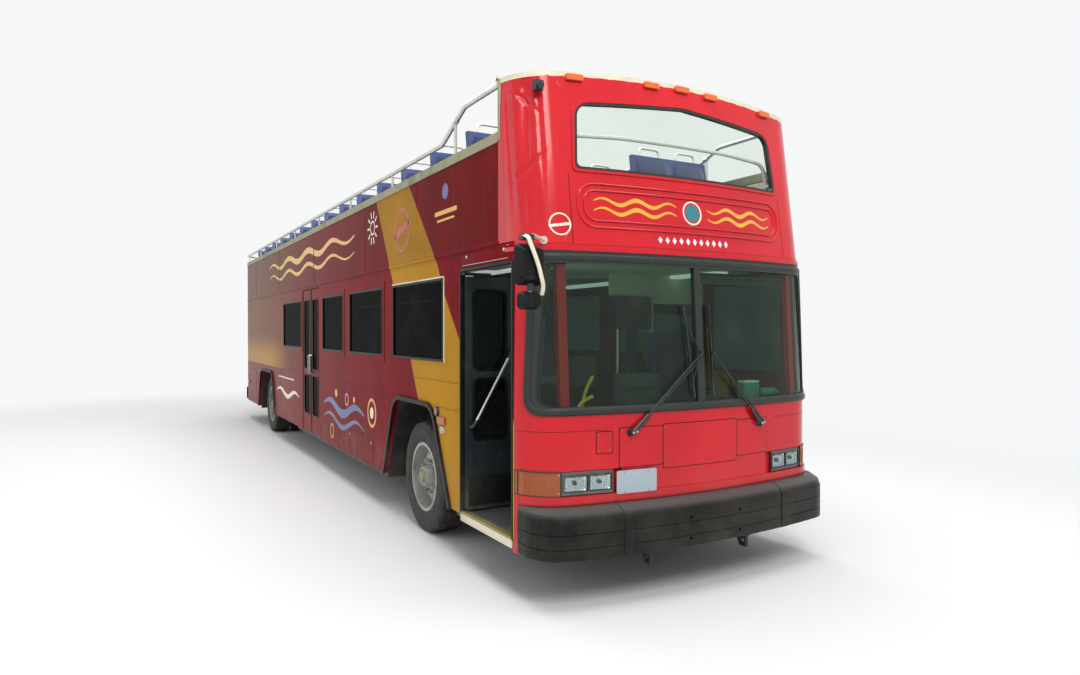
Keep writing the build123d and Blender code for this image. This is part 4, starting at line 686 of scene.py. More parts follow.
def facing(at, normal):
    """Matrix that carries Z onto a surface's normal at a point."""
    return Matrix.Translation(at) @ Vector((0, 0, 1)).rotation_difference(Vector(normal)).to_matrix().to_4x4()


def facing_up(at, normal):
    """Matrix that carries Z onto a normal and keeps Y as near to upright as it can."""
    normal = Vector(normal).normalized()
    across = Vector((0, 0, 1)).cross(normal).normalized()
    turn = Matrix((across, normal.cross(across), normal)).transposed().to_4x4()
    return Matrix.Translation(at) @ turn


# Outlines and runs of points


def soften(points, bend, steps=6):
    """The same run of points with each corner rounded."""
    points = [Vector(point) for point in points]
    smooth = [points[0]]
    for before, corner, after in zip(points, points[1:], points[2:]):
        reach = min(bend, (corner - before).length * 0.45, (after - corner).length * 0.45)
        start = corner + (before - corner).normalized() * reach
        end = corner + (after - corner).normalized() * reach
        for n in range(steps + 1):
            t = n / steps
            smooth.append(start * (1 - t) ** 2 + corner * 2 * t * (1 - t) + end * t ** 2)
    return smooth + [points[-1]]


def flat(half, low, high):
    """Section of a flat strip, half to each side, between two distances off the surface."""
    return [(-half, low), (-half, high), (half, high), (half, low)]


def around(box, by, radius, steps=5):
    """Rectangle with rounded corners, larger than a box of u0, u1, v0, v1 by so much on every side."""
    u0, u1, v0, v1 = box
    corners = [(u1 + by - radius, v1 + by - radius, 0), (u0 - by + radius, v1 + by - radius, 90),
               (u0 - by + radius, v0 - by + radius, 180), (u1 + by - radius, v0 - by + radius, 270)]
    points = []
    for u, v, start in corners:
        for n in range(steps + 1):
            angle = radians(start + 90 * n / steps)
            points.append((u + radius * cos(angle), v + radius * sin(angle)))
    return points


def disc(u, v, radius, steps=32):
    turns = (2 * pi * n / steps for n in range(steps))
    return [(u + radius * cos(a), v + radius * sin(a)) for a in turns]


def ring(u, v, radius, width):
    return disc(u, v, radius), disc(u, v, radius - width)


def wave(u0, u1, middle, rise, waves, width, steps=40):
    """Outline of a wavy bar that narrows to its ends."""
    points = []
    for n in range(steps + 1):
        share = n / steps
        half = width / 2 * (0.25 + 0.75 * sin(pi * share))
        points.append((u0 + (u1 - u0) * share, middle + rise * sin(2 * pi * waves * share), half))
    return [(u, v + half) for u, v, half in points] + [(u, v - half) for u, v, half in reversed(points)]


def bar(u0, v0, u1, v1, width):
    """Outline of a straight bar between two points."""
    length = hypot(u1 - u0, v1 - v0)
    across, over = -(v1 - v0) / length * width / 2, (u1 - u0) / length * width / 2
    left = [(u0 + across, v0 + over), (u1 + across, v1 + over)]
    return left + [(u1 - across, v1 - over), (u0 - across, v0 - over)]


def grown(outline, by):
    """An outline about its own middle, larger by the same amount on every side."""
    u_mid = (min(u for u, v in outline) + max(u for u, v in outline)) / 2
    v_mid = (min(v for u, v in outline) + max(v for u, v in outline)) / 2
    return [(u + (by if u > u_mid else -by), v + (by if v > v_mid else -by)) for u, v in outline]


def filleted(corners, steps=7):
    """Outline through corners given as u, v and the length of their rounding."""
    points = []
    for n, (u, v, reach) in enumerate(corners):
        corner = Vector((u, v))
        before = (Vector(corners[n - 1][:2]) - corner).normalized()
        after = (Vector(corners[(n + 1) % len(corners)][:2]) - corner).normalized()
        for k in range(steps + 1):
            t = k / steps
            point = corner + before * reach * (1 - t) ** 2 + after * reach * t ** 2
            points.append((point.x, point.y))
    return points


def subdivided(outline, longest=0.12, other=None):
    """An outline with more points where they lie far apart, and another one cut in the same places."""
    pairs = list(zip(outline, other or outline))
    finer = []
    for (a, b), (c, d) in zip(pairs, pairs[1:] + pairs[:1]):
        parts = max(1, ceil(hypot(c[0] - a[0], c[1] - a[1]) / longest))
        for t in (n / parts for n in range(parts)):
            finer.append(((a[0] + (c[0] - a[0]) * t, a[1] + (c[1] - a[1]) * t),
                          (b[0] + (d[0] - b[0]) * t, b[1] + (d[1] - b[1]) * t)))
    return zip(*finer) if other else [point for point, twin in finer]


# Surfaces that pieces are laid on

CORNER_Y = HALF_WIDTH - NOSE_CORNER
BOW_END_Y = CORNER_Y * NOSE_BOW / (NOSE_BOW - NOSE_CORNER)
BOW_TURN = asin(BOW_END_Y / NOSE_BOW)
BOW_RUN = NOSE_BOW * BOW_TURN


def nose_x(z):
    """How far forward the face is at height z, on the centre line."""
    if z <= BELT_Z:
        return NOSE_X
    if z <= LIP_Z:
        return NOSE_X + (LEAN_LOW_X - NOSE_X) * (z - BELT_Z) / (LIP_Z - BELT_Z)
    return LEAN_LOW_X + (LEAN_TOP_X - LEAN_LOW_X) * (z - LIP_Z) / (TOP_Z - LIP_Z)


def corner_x(z):
    """Where the axis that the front corners are turned about stands at height z."""
    return nose_x(z) - NOSE_BOW + sqrt((NOSE_BOW - NOSE_CORNER) ** 2 - CORNER_Y ** 2)


def corner_axis(z):
    """Point at height z on the axis of the right front corner."""
    return Vector((corner_x(z), -CORNER_Y, z))


def on_face(y, z, off=0.0):
    """Point on the bowed face and round its corners, off metres ahead of it."""
    if abs(y) <= BOW_END_Y:
        turn = y / NOSE_BOW
        reach = NOSE_BOW + off
        return Vector((nose_x(z) - NOSE_BOW + reach * sqrt(1 - turn * turn), reach * turn, z))
    side = 1 if y > 0 else -1
    turn = min(1.0, (abs(y) - CORNER_Y) / NOSE_CORNER)
    reach = NOSE_CORNER + off
    return Vector((corner_x(z) + reach * sqrt(1 - turn * turn), side * (CORNER_Y + reach * turn), z))


def face_normal(y, z):
    return on_face(y, z, 0.01) - on_face(y, z)


def on_nose(run, z, off=0.0):
    """Point on the face and its corners, run metres along the surface from the centre line."""
    if abs(run) <= BOW_RUN:
        return on_face(NOSE_BOW * sin(run / NOSE_BOW), z, off)
    side = 1 if run > 0 else -1
    turn = min(BOW_TURN + (abs(run) - BOW_RUN) / NOSE_CORNER, pi / 2)
    return on_face(side * (CORNER_Y + NOSE_CORNER * sin(turn)), z, off)


def nose_normal(run, z):
    return on_nose(run, z, 0.01) - on_nose(run, z)


def corner_run(x, z):
    """How far along the nose's surface a corner reaches back to X at height z."""
    turn = acos((x - corner_x(z)) / NOSE_CORNER)
    return BOW_RUN + NOSE_CORNER * (turn - BOW_TURN)


def round_nose(height, back_x=None, turns=9, bows=14):
    """Points and outward normals round the nose, from the right side to the left, at a height for each Y."""
    corner = [CORNER_Y + NOSE_CORNER * sin(radians(90 - 80 * n / turns)) for n in range(turns + 1)]
    bow = [-BOW_END_Y * (1 - 2 * n / bows) for n in range(1, bows)]
    path = []
    for y in [-y for y in corner] + bow + corner[::-1]:
        path.append((on_face(y, height(y)), face_normal(y, height(y))))
    if back_x:
        for end, side in ((0, -1), (len(path), 1)):
            y = side * HALF_WIDTH
            path.insert(end, (Vector((back_x, y, height(y))), Vector((0, side, 0))))
    return path


def on_side(side):
    """Surface of one flat side, drawn in X and Z."""
    def wrap(x, z, off=0.0):
        return Vector((x, side * (HALF_WIDTH + off), z))
    return wrap


def on_rear(y, z, off=0.0):
    return Vector((REAR_X - off, y, z))


def across_x(x, way, y_mid=0.0, z_mid=0.0):
    """Surface at X that faces ahead or back, drawn in Y and Z from a middle."""
    def wrap(y, z, off=0.0):
        return Vector((x + way * off, y_mid + y, z_mid + z))
    return wrap


# Geometry Nodes


class Pattern:
    """A Geometry Nodes tree that sets copies of one small shape on points, with named sizes as its inputs."""

    def __init__(self, name, build, **sizes):
        self.tree = bpy.data.node_groups.new(name, "GeometryNodeTree")
        self.keys = {}
        for label, kind in sizes.items():
            socket = self.tree.interface.new_socket(label, in_out="INPUT", socket_type=f"NodeSocket{kind}")
            self.keys[label] = socket.identifier
        self.tree.interface.new_socket("Geometry", in_out="OUTPUT", socket_type="NodeSocketGeometry")
        points, shape = build(self.node, self.tree.nodes.new("NodeGroupInput").outputs)
        placed = self.node("InstanceOnPoints", Points=points, Instance=shape)
        real = self.node("RealizeInstances", Geometry=placed)
        self.tree.links.new(real, self.tree.nodes.new("NodeGroupOutput").inputs[0])

    def node(self, kind, **sockets):
        """Adds a node with values or links for its sockets; a list is linked in its order."""
        node = self.tree.nodes.new(f"GeometryNode{kind}")
        for key, value in sockets.items():
            for item in value if isinstance(value, list) else [value]:
                if isinstance(item, bpy.types.NodeSocket):
                    self.tree.links.new(item, node.inputs[key])
                else:
                    node.inputs[key].default_value = item
        return node.outputs[0]

    def mesh(self, **sizes):
        """The tree's result for these sizes, as a plain mesh; one copy unless a count and pitch are given."""
        carrier = added("pattern", bpy.data.meshes.new("pattern"))
        modifier = carrier.modifiers.new("pattern", "NODES")
        modifier.node_group = self.tree
        values = {"Count": 1, "Pitch": (0.0, 0.0, 0.0), **sizes}
        for label, key in self.keys.items():
            modifier[key] = values[label]
        mesh = evaluated(carrier)
        bpy.data.objects.remove(carrier)
        return mesh


def bolt_ring(node, size):
    """Six-sided heads on a circle about Z."""
    head = node("MeshCylinder", Vertices=6, Radius=size["Head"], Depth=size["Height"])
    return node("MeshCircle", Vertices=size["Count"], Radius=size["Ring"]), head


def bar_row(node, size):
    """Like bars in a row, each with its edges broken by a smaller cap."""
    box = node("MeshCube", Size=size["Size"])
    cap = node("Transform", Geometry=box, Scale=(0.8, 0.8, 1.12))
    both = node("JoinGeometry", Geometry=[box, cap])
    return node("MeshLine", Count=size["Count"], Offset=size["Pitch"]), both


def dome_row(node, size):
    """Dome-headed rivets or screws in a row."""
    ball = node("MeshUVSphere", Segments=8, Rings=5, Radius=size["Head"])
    dome = node("Transform", Geometry=ball, Scale=(1.0, 1.0, 0.45))
    return node("MeshLine", Count=size["Count"], Offset=size["Pitch"]), dome


BOLT_RING = Pattern("bolt_ring", bolt_ring, Count="Int", Ring="Float", Head="Float", Height="Float")
BAR_ROW = Pattern("bar_row", bar_row, Count="Int", Pitch="Vector", Size="Vector")
DOME_ROW = Pattern("dome_row", dome_row, Count="Int", Pitch="Vector", Head="Float")


# Tyres and wheels, whose sections are given as radius and share of half the width

TYRE_WALL = [(0.292, 0.80), (0.306, 0.87), (0.326, 0.94), (0.342, 0.965), (0.348, 0.99), (0.356, 0.975),
             (0.385, 0.998), (0.412, 0.985), (0.430, 0.975), (0.434, 0.955), (0.452, 0.93), (0.466, 0.89),
             (0.474, 0.84)]
SHOULDER = (0.479, 0.74)
GROOVES = (-0.5, -0.17, 0.17, 0.5)
GROOVE_HALF = 0.035
GROOVE_DEPTH = 0.013
ZIGZAG = 0.0035
TREAD_STEPS = 80
AXLE_Y = TYRE_OUTER_Y - TYRE_WIDTH / 2
WHEEL_SETS = {
    "front": dict(x=FRONT_AXLE_X, places=[AXLE_Y], node="tyre_front_", body="wheel_front_",
                  disc=0.06, hub=0.13),
    "rear": dict(x=REAR_AXLE_X, places=[AXLE_Y, AXLE_Y - DUAL_SPACING], node="tyres_rear_",
                 body="wheels_rear_", disc=-0.12, hub=0.11),
}


def tyre_section():
    """Radius and place across the tyre, round its outside and back along the bead."""
    half = TYRE_WIDTH / 2
    near = [(radius, -half * share) for radius, share in TYRE_WALL]
    shoulder, share = SHOULDER
    tread = [(shoulder, -share * half)]
    for middle in GROOVES:
        low, high = (middle - GROOVE_HALF) * half, (middle + GROOVE_HALF) * half
        tread += [(TYRE_R, low), (TYRE_R - GROOVE_DEPTH, low + 0.001)]
        tread += [(TYRE_R - GROOVE_DEPTH, high - 0.001), (TYRE_R, high)]
    tread.append((shoulder, share * half))
    far = [(radius, -across) for radius, across in reversed(near)]
    return near + tread + far


def zigzag(step, radius, across):
    """Moves the tread's grooves to and fro round the tyre."""
    if radius < 0.46 or abs(across) > 0.6 * TYRE_WIDTH / 2:
        return across
    return across + ZIGZAG * (1 if step // 2 % 2 else -1)


def make_wheel(side, name, wheels):
    """Tyres with their tread, wheel nuts, studs and hub bolts, and the hub's cap."""
    where = SIDE_NAMES[side]
    x, body = wheels["x"], wheels["body"] + where
    tyres = Shape()
    for y in wheels["places"]:
        tyres.lathe(tyre_section(), (x, side * y, HUB_Z), (0, 1, 0), TREAD_STEPS, zigzag)
    skin = tyres.piece(f"tread_{wheels['node']}{where}", TYRE_RUBBER, body)
    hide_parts(wheels["node"] + where)
    disc_y, hub_y = AXLE_Y + wheels["disc"], AXLE_Y + wheels["hub"]
    placed = []
    turn = Matrix.Rotation(radians(90), 4, "X")
    for count, circle, head, height, y in ((10, 0.14, 0.017, 0.034, disc_y + 0.015),
                                           (10, 0.14, 0.009, 0.056, disc_y + 0.015),
                                           (8, 0.066, 0.008, 0.016, hub_y + 0.006)):
        bolts = BOLT_RING.mesh(Count=count, Ring=circle, Head=head, Height=height)
        placed.append((bolts, Matrix.Translation((x, side * y, HUB_Z)) @ turn))
    hang(f"wheel_nuts_{name}_{where}", joined(placed), WHEEL_STEEL, body)
    cap = Shape()
    reach = side * 0.022
    profile = [(0.0, reach), (0.03, reach), (0.048, reach * 0.8), (0.052, 0.0), (0.0, -0.002)]
    cap.lathe(profile, (x, side * hub_y, HUB_Z), (0, 1, 0), 28)
    cap.piece(f"hub_cap_{name}_{where}", CAP_METAL, body)


for side in SIDES:
    for name, wheels in WHEEL_SETS.items():
        make_wheel(side, name, wheels)


# Face

FACE_PANELS = {
    "door_control_flap": (-0.842, -0.729, 0.965, 1.103),
    "wiper_panel_right": (-0.675, -0.342, 0.864, 1.121),
    "service_panel": (-0.334, 0.334, 0.835, 1.129),
    "wiper_panel_left": (0.340, 0.659, 0.865, 1.117),
}
EDGING = [(0.004, -0.022), (0.004, 0.004), (-0.030, 0.004), (-0.030, 0.0005), (-0.001, 0.0005),
          (-0.001, -0.022)]
BEAD = [(-0.026, -0.003), (-0.026, 0.001), (-0.021, 0.008), (-0.011, 0.0125), (0.0, 0.014), (0.011, 0.0125),
        (0.021, 0.008), (0.026, 0.001), (0.026, -0.003)]
FLANGE = [(-0.0145, 0.002), (-0.0145, 0.0125), (0.0135, 0.0125), (0.0135, 0.002)]
SIGN = (-0.92, 0.92, 2.44, 2.745)
PLATE = (-0.7075, -0.4025, 0.694, 0.846)
LENSES = [(0.734, 0.894), (0.906, 1.068)]
LAMP_Z = (0.727, 0.833)
BOWL = [(0.001, -0.0222, 0.010), (0.001, -0.0072, 0.010), (0.004, -0.0072, 0.010), (0.010, -0.0135, 0.010),
        (0.020, -0.0180, 0.018), (0.034, -0.0202, 0.018), (0.046, -0.0210, 0.006)]


def corners_in(box, across, up):
    """The four places a little inside the corners of a box."""
    u0, u1, v0, v1 = box
    return [(u, v) for u in (u0 + across, u1 - across) for v in (v0 + up, v1 - up)]


def heads_on_face(name, material, radius, places, off):
    """Small dome heads on the face, at places of Y and Z."""
    spots = [facing(on_face(y, z, off), face_normal(y, z)) for y, z in places]
    strewn(name, material, DOME_ROW.mesh(Head=radius), spots)


def make_face_panels():
    """Flush panels with a painted shadow gap round them, screwed to the face."""
    places = []
    for name, box in FACE_PANELS.items():
        outline = around(box, 0.0, 0.012)
        # A black sheet under each panel shows in the gap round it: painted shadow.
        shadow_gap = Shape()
        shadow_gap.plate(grown(outline, 0.005), on_face, 0.0012, step=0.08)
        shadow_gap.piece(f"{name}_gap", BLACK_RUBBER)
        panel = Shape()
        panel.plate(outline, on_face, 0.003, step=0.08)
        panel.piece(name, PAINT_FRONT)
        places += corners_in(box, 0.018, 0.018)
    heads_on_face("face_panel_screws", BEZEL_METAL, 0.006, places, 0.003)


def crown_z(y):
    """Height of the upper panel's crowned top edge."""
    drop = TOP_Z - CROWN_SIDE_Z
    radius = (CROWN_HALF ** 2 + drop ** 2) / (2 * drop)
    return TOP_Z - radius + sqrt(radius ** 2 - y ** 2)


def make_edging():
    """Aluminium channel over the front panel's top edge, cream at the front, and down its rear edges."""
    top = Shape()
    top.sweep(round_nose(lambda y: crown_z(y) - 0.004, UPPER_NOSE_BACK_X), EDGING)
    top.piece("top_edging", TRIM_CREAM)
    x0, x1 = UPPER_NOSE_BACK_X - 0.002, UPPER_NOSE_BACK_X + 0.028
    for side in SIDES:
        y0, y1 = sorted((side * (HALF_WIDTH + 0.004), side * (HALF_WIDTH - 0.042)))
        row = ((x0, y0, CAP_TOP_Z - 0.06), (x1, y1, crown_z(HALF_WIDTH) + 0.002))
        boxes(f"rear_edging_{SIDE_NAMES[side]}", CAP_METAL, row)


def bell(value, width):
    return exp(-((value / width) ** 2))


def between(value, low, high):
    """Smooth climb from 0 at low to 1 at high."""
    share = min(1.0, max(0.0, (value - low) / (high - low)))
    return share * share * (3 - 2 * share)


def dent(turn, z):
    """How far the right front corner is pressed in, by degrees round it from straight ahead and height."""
    grow = between(z, 2.45, 3.05) * (1 - 0.8 * between(z, 3.36, 3.45))
    low = between(z, 2.38, 2.46) * (1 - between(z, 2.75, 2.90))
    lean = 10 * (z - 3.0)
    valley = 0.022 * bell(turn - 46 + lean, 8) - 0.005 * bell(turn - 61 + lean, 4)
    side_crease = 0.010 * bell(turn - 70, 5) * between(z, 2.4, 2.7) * (1 - between(z, 3.25, 3.4))
    front_crease = 0.007 * bell(turn - 27, 4) * grow
    folds = 0.013 * bell(z - 3.29 - 0.0047 * (turn - 46), 0.018) * bell(turn - 46, 16)
    folds += 0.010 * bell(z - 2.83 + 0.004 * (turn - 46), 0.018) * bell(turn - 48, 18)
    low_creases = low * (0.006 * bell(turn - 54, 3.5) + 0.005 * bell(turn - 36, 3.5))
    return valley * grow + side_crease + front_crease + folds + low_creases


def smooth_nose(mesh):
    """Gives the skins that aren't pressed in the exact normals of the bow and its corners."""
    lean = (LEAN_LOW_X - LEAN_TOP_X) / (TOP_Z - LIP_Z)
    normals = []
    for face in mesh.polygons:
        for index in face.vertices:
            x, y, z = mesh.vertices[index].co
            turn = asin(y / NOSE_BOW)
            if abs(y) > BOW_END_Y:
                ahead = x - corner_axis(z).x
                turn = atan2(abs(y) - CORNER_Y, ahead) if ahead > 0 else pi / 2
                turn = turn if y > 0 else -turn
            out = Vector((cos(turn), sin(turn), lean * cos(turn))).normalized()
            shown = face.normal.dot(out)
            pressed = y < 0 and dent(degrees(-turn), z) > 2e-4
            if pressed or abs(shown) < 0.93:
                out = Vector((0.0, 0.0, 0.0))
            normals.append(out if shown > 0 else -out)
    mesh.normals_split_custom_set(normals)


def make_dented_panel():
    """The upper front panel with its right corner cut fine and pressed in."""
    panel = bmesh.new()
    panel.from_mesh(NODES["front_upper_panel"].data)
    bmesh.ops.remove_doubles(panel, verts=panel.verts, dist=1e-5)
    cuts = [(Vector((0.0, 0.0, 2.38 + 0.024 * n)), Vector((0.0, 0.0, 1.0))) for n in range(46)]
    axis = corner_axis(TOP_Z) - corner_axis(LIP_Z)
    for n in range(20):
        turn = radians(12 + 4 * n)
        cuts.append((corner_axis(LIP_Z), axis.cross(Vector((cos(turn), -sin(turn), 0.0))).normalized()))
    for point, normal in cuts:
        faces = [face for face in panel.faces if face.calc_center_median().y < -0.96]
        edges = list({edge for face in faces for edge in face.edges})
        verts = list({vert for face in faces for vert in face.verts})
        bmesh.ops.bisect_plane(panel, geom=verts + edges + faces, plane_co=point, plane_no=normal)
    for vert in panel.verts:
        centre = corner_axis(vert.co.z)
        ahead, aside = vert.co.x - centre.x, centre.y - vert.co.y
        if ahead <= 0 or aside <= 0 or hypot(ahead, aside) < 0.2:
            continue
        radius = NOSE_CORNER if hypot(ahead, aside) > 0.28 else hypot(ahead, aside)
        turn = atan2(aside, ahead)
        pressed = radius - dent(degrees(turn), vert.co.z)
        vert.co = centre + Vector((cos(turn), -sin(turn), 0.0)) * pressed
    bmesh.ops.triangulate(panel, faces=[face for face in panel.faces if len(face.verts) > 4])
    mesh = bpy.data.meshes.new("dented_panel")
    panel.to_mesh(mesh)
    panel.free()
    skin = hang("dented_front_panel", mesh, PAINT_FRONT, sharp=32.0)
    smooth_nose(mesh)
    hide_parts("front_upper_panel")


def screen_outline(inset, low, high):
    """Outline of the wrapped windscreen along the nose's surface."""
    wide, narrow = corner_run(5.81 + inset, low), corner_run(5.81 + inset, high)
    return filleted([(-wide, low, 0.11), (wide, low, 0.11), (narrow, high, 0.04), (-narrow, high, 0.04)])


def upper_outline(inset):
    """Outline of the upper pane, its top edge peaked at the middle."""
    wide, narrow = 0.93 - inset, 0.90 - inset
    low, shoulder, peak = 2.82 + inset, 3.30 - inset, 3.37 - inset
    return filleted([(-wide, low, 0.045), (wide, low, 0.045), (narrow, shoulder, 0.12), (0.0, peak, 0.02),
                     (-narrow, shoulder, 0.12)])


def make_screen_beads():
    """Round rubber bead on the windscreen's gasket, a dark band of painted reflection over its inner edge,
    and red flanges beside the rubber.
    """
    bead = Shape()
    outline = subdivided(screen_outline(0.014, 1.243, 2.238), 0.06)
    bead.sweep([(on_nose(run, z, 0.008), nose_normal(run, z)) for run, z in outline], BEAD, loop=True)
    bead.piece("windscreen_bead", GASKET_RUBBER, sharp=50.0)
    # Dark band over the gasket's inner edge: painted reflection of the glass.
    border = Shape()
    outer, inner = subdivided(screen_outline(0.038, 1.262, 2.213), 0.06, screen_outline(0.064, 1.273, 2.202))
    border.band(outer, inner, on_nose, 0.0092, 0.004)
    border.piece("windscreen_painted_reflection_band", EDGE_GLASS)
    flange = Shape()
    flange.sweep(round_nose(lambda y: 2.297), FLANGE)
    outer, inner = subdivided(upper_outline(-0.006), 0.06, upper_outline(0.011))
    flange.band(outer, inner, on_face, 0.0085, -0.003)
    flange.piece("screen_flanges", PAINT_FRONT)


def make_face_creases():
    """Pressed lines round the lower corners, beside the sign and under it."""
    raised = Shape()
    dark = Shape()
    for side in SIDES:
        for shape, z, half, proud in ((raised, 1.121, 0.004, 0.0022), (dark, 1.1155, 0.0015, 0.0009)):
            runs = [side * (0.762 + 0.678 * n / 24) for n in range(25)]
            shape.sweep([(on_nose(run, z), nose_normal(run, z)) for run in runs], flat(half, -0.001, proud))
        for shape, y, half, proud in ((raised, 0.958, 0.005, 0.0022), (dark, 0.9655, 0.0015, 0.0009)):
            path = [(on_face(side * y, 2.335 + 0.46 * n / 12), face_normal(side * y, 2.5)) for n in range(13)]
            shape.sweep(path, flat(half, -0.001, proud))
    raised.sweep(round_nose(lambda y: 2.330), flat(0.004, -0.001, 0.003))
    raised.piece("face_creases", PAINT_FRONT)
    dark.piece("face_crease_shadows", BLACK_RUBBER)


def print_film(name, wrap, material, plates=(), bands=(), proud=0.0009, step=0.0):
    """Film motifs laid on a surface: filled outlines, and bands between an outer and an inner outline."""
    motif = Shape()
    for outline in plates:
        motif.plate(outline, wrap, proud, step=step)
    for outer, inner in bands:
        motif.band(outer, inner, wrap, proud)
    motif.piece(name, material)


def make_sign():
    """Two beads round the sign space, and waves, a disc, rings and lozenges in place of lettering."""
    for number, inset in enumerate((0.0, 0.045)):
        outer = around(SIGN, -inset, 0.13 - inset, 8)
        inner = around(SIGN, -inset - 0.012, 0.13 - inset - 0.012, 8)
        bead = Shape()
        rings = []
        for a, b in zip(*subdivided(outer, other=inner)):
            middle = ((a[0] + b[0]) / 2, (a[1] + b[1]) / 2)
            heights = ((a, 0.004), (a, 0.0075), (middle, 0.0105), (b, 0.0075), (b, 0.004))
            rings.append([on_face(*place, off) for place, off in heights])
        bead.loft(rings, loop=True)
        bead.piece(f"sign_bead_{number}", PAINT_FRONT)
    waves = [wave(u, u + 0.66, z, rise, 2.5, 0.030) for u, rise in ((-0.80, 0.020), (0.14, -0.020))
             for z in (2.625, 2.560)]
    print_film("sign_waves", on_face, GOLD_FILM, waves, proud=0.0012, step=0.05)
    print_film("sign_disc", on_face, TEAL_FILM, [disc(0.0, 2.5925, 0.062)], proud=0.0012, step=0.04)
    print_film("sign_rings", on_face, CREAM_FILM, [], [ring(0.0, 2.5925, 0.086, 0.012)], 0.0016)
    lozenges = []
    for y in (-0.30 + 0.06 * n for n in range(11)):
        lozenges.append([(y + 0.018, 2.385), (y, 2.41), (y - 0.018, 2.385), (y, 2.36)])
    print_film("sign_lozenges", on_face, WHITE_FILM, lozenges, proud=0.0012)
    print_film("corner_badge", on_face, CREAM_FILM, [bar(-1.12, 2.44, -0.98, 2.46, 0.018)],
               [ring(-1.045, 2.455, 0.075, 0.010)], 0.0012, 0.04)


def make_plate():
    """Blank embossed plate in a thin rim, held by four bolts, on two brackets."""
    y0, y1, z0, z1 = PLATE
    sheet = Shape()
    sheet.plate(around(PLATE, 0.0, 0.012), on_face, 0.0225, 0.019, step=0.1)
    sheet.band(around(PLATE, 0.0, 0.012), around(PLATE, -0.005, 0.008), on_face, 0.0238, 0.019)
    sheet.piece("blank_plate", PLATE_SHADED_WHITE)
    heads_on_face("plate_bolts", BRIGHT_TRIM, 0.006, corners_in(PLATE, 0.06, 0.012), 0.025)
    bracket = Shape()
    for y in (y0 + 0.06, y1 - 0.06):
        outline = around((y - 0.018, y + 0.018, z0 + 0.01, z1 + 0.004), 0.0, 0.004)
        bracket.plate(outline, on_face, 0.0185, -0.001)
    bracket.piece("plate_brackets", BLACK_PLASTIC)


def make_headlamps():
    """Reflector bowls with a bulb cap, fluted clear panes, and bright frames with a dark inner line."""
    low, high = LAMP_Z
    centre = (low + high) / 2
    frames, gaps, bowls, panes = Shape(), Shape(), Shape(), Shape()
    ribs = []
    for y0, y1 in (sorted((side * a, side * b)) for side in SIDES for a, b in LENSES):
        box = (y0, y1, low, high)
        frames.band(around(box, 0.009, 0.012), around(box, 0.003, 0.010), on_face, 0.0045, -0.004)
        gaps.band(around(box, 0.003, 0.010), around(box, -0.004, 0.008), on_face, 0.001, -0.0055)
        bowls.loft([[on_face(u, v, off) for u, v in around(box, -inset, radius)]
                    for inset, off, radius in BOWL])
        middle = (y0 + y1) / 2
        gaps.lathe([(0.0, 0.0135), (0.011, 0.0130), (0.014, 0.0100), (0.014, 0.0), (0.0, 0.0)],
                   on_face(middle, centre, -0.0212), face_normal(middle, centre), 22)
        panes.plate(around(box, -0.003, 0.009), on_face, -0.0035, -0.0060, 0.04)
        for y in (y0 + 0.012 + (y1 - y0 - 0.024) * n / 12 for n in range(13)):
            ribs.append(facing_up(on_face(y, centre, -0.0030), face_normal(y, centre)))
    frames.piece("lamp_frames", BEZEL_METAL)
    gaps.piece("lamp_gaps_and_bulb_caps", DARK_PLASTIC)
    bowl = bowls.piece("lamp_reflectors", REFLECTOR)
    pane = panes.piece("lamp_panes", LAMP_PANE)
    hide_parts("headlamps")
    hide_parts("headlamps")
    strewn("lamp_lens_ribs", LAMP_PANE, BAR_ROW.mesh(Size=(0.0022, high - low - 0.012, 0.0012)), ribs)


def make_corner_lamps():
    """Dark rims, upright flutes and two screws on each of the amber corner lenses."""
    rims = Shape()
    flutes = []
    heads = []
    for side in SIDES:
        inner, outer = side * 1.088, side * 1.285
        outline = subdivided([(inner, 0.702), (outer, 0.702), (outer, 0.858), (inner, 0.858)], 0.03)
        path = [(on_face(*at, 0.004), face_normal(*at)) for at in outline]
        rims.sweep(path, flat(0.004, -0.002, 0.005), loop=True)
        for run in (side * (1.115 + 0.0148 * n) for n in range(16)):
            flutes.append(facing_up(on_nose(run, 0.78, 0.0045), nose_normal(run, 0.78)))
        for z in (0.72, 0.84):
            heads.append(facing_up(on_nose(side * 1.107, z, 0.0045), nose_normal(side * 1.107, z)))
    rims.piece("corner_lamp_rims", DARK_PLASTIC)
    strewn("corner_lamp_flutes", AMBER, BAR_ROW.mesh(Size=(0.0045, 0.128, 0.003)), flutes)
    strewn("corner_lamp_screws", BRIGHT_TRIM, DOME_ROW.mesh(Head=0.0055), heads)


WIPERS = [dict(pivot=(-0.595, 1.093), tip=(-0.010, 1.610), blade=((-0.140, 1.930), (-0.070, 1.300))),
          dict(pivot=(0.561, 1.085), tip=(0.090, 1.610), blade=((0.090, 1.940), (0.100, 1.310)))]
BLADE = [(-0.006, -0.002), (-0.006, 0.003), (0.006, 0.003), (0.006, -0.002), (0.0012, -0.003),
         (0.0012, -0.0135), (-0.0012, -0.0135), (-0.0012, -0.003)]
WIPER_BOSS = [(0.0, 0.048), (0.015, 0.046), (0.019, 0.036), (0.024, 0.010), (0.030, 0.004), (0.030, 0.001),
              (0.0, 0.001)]


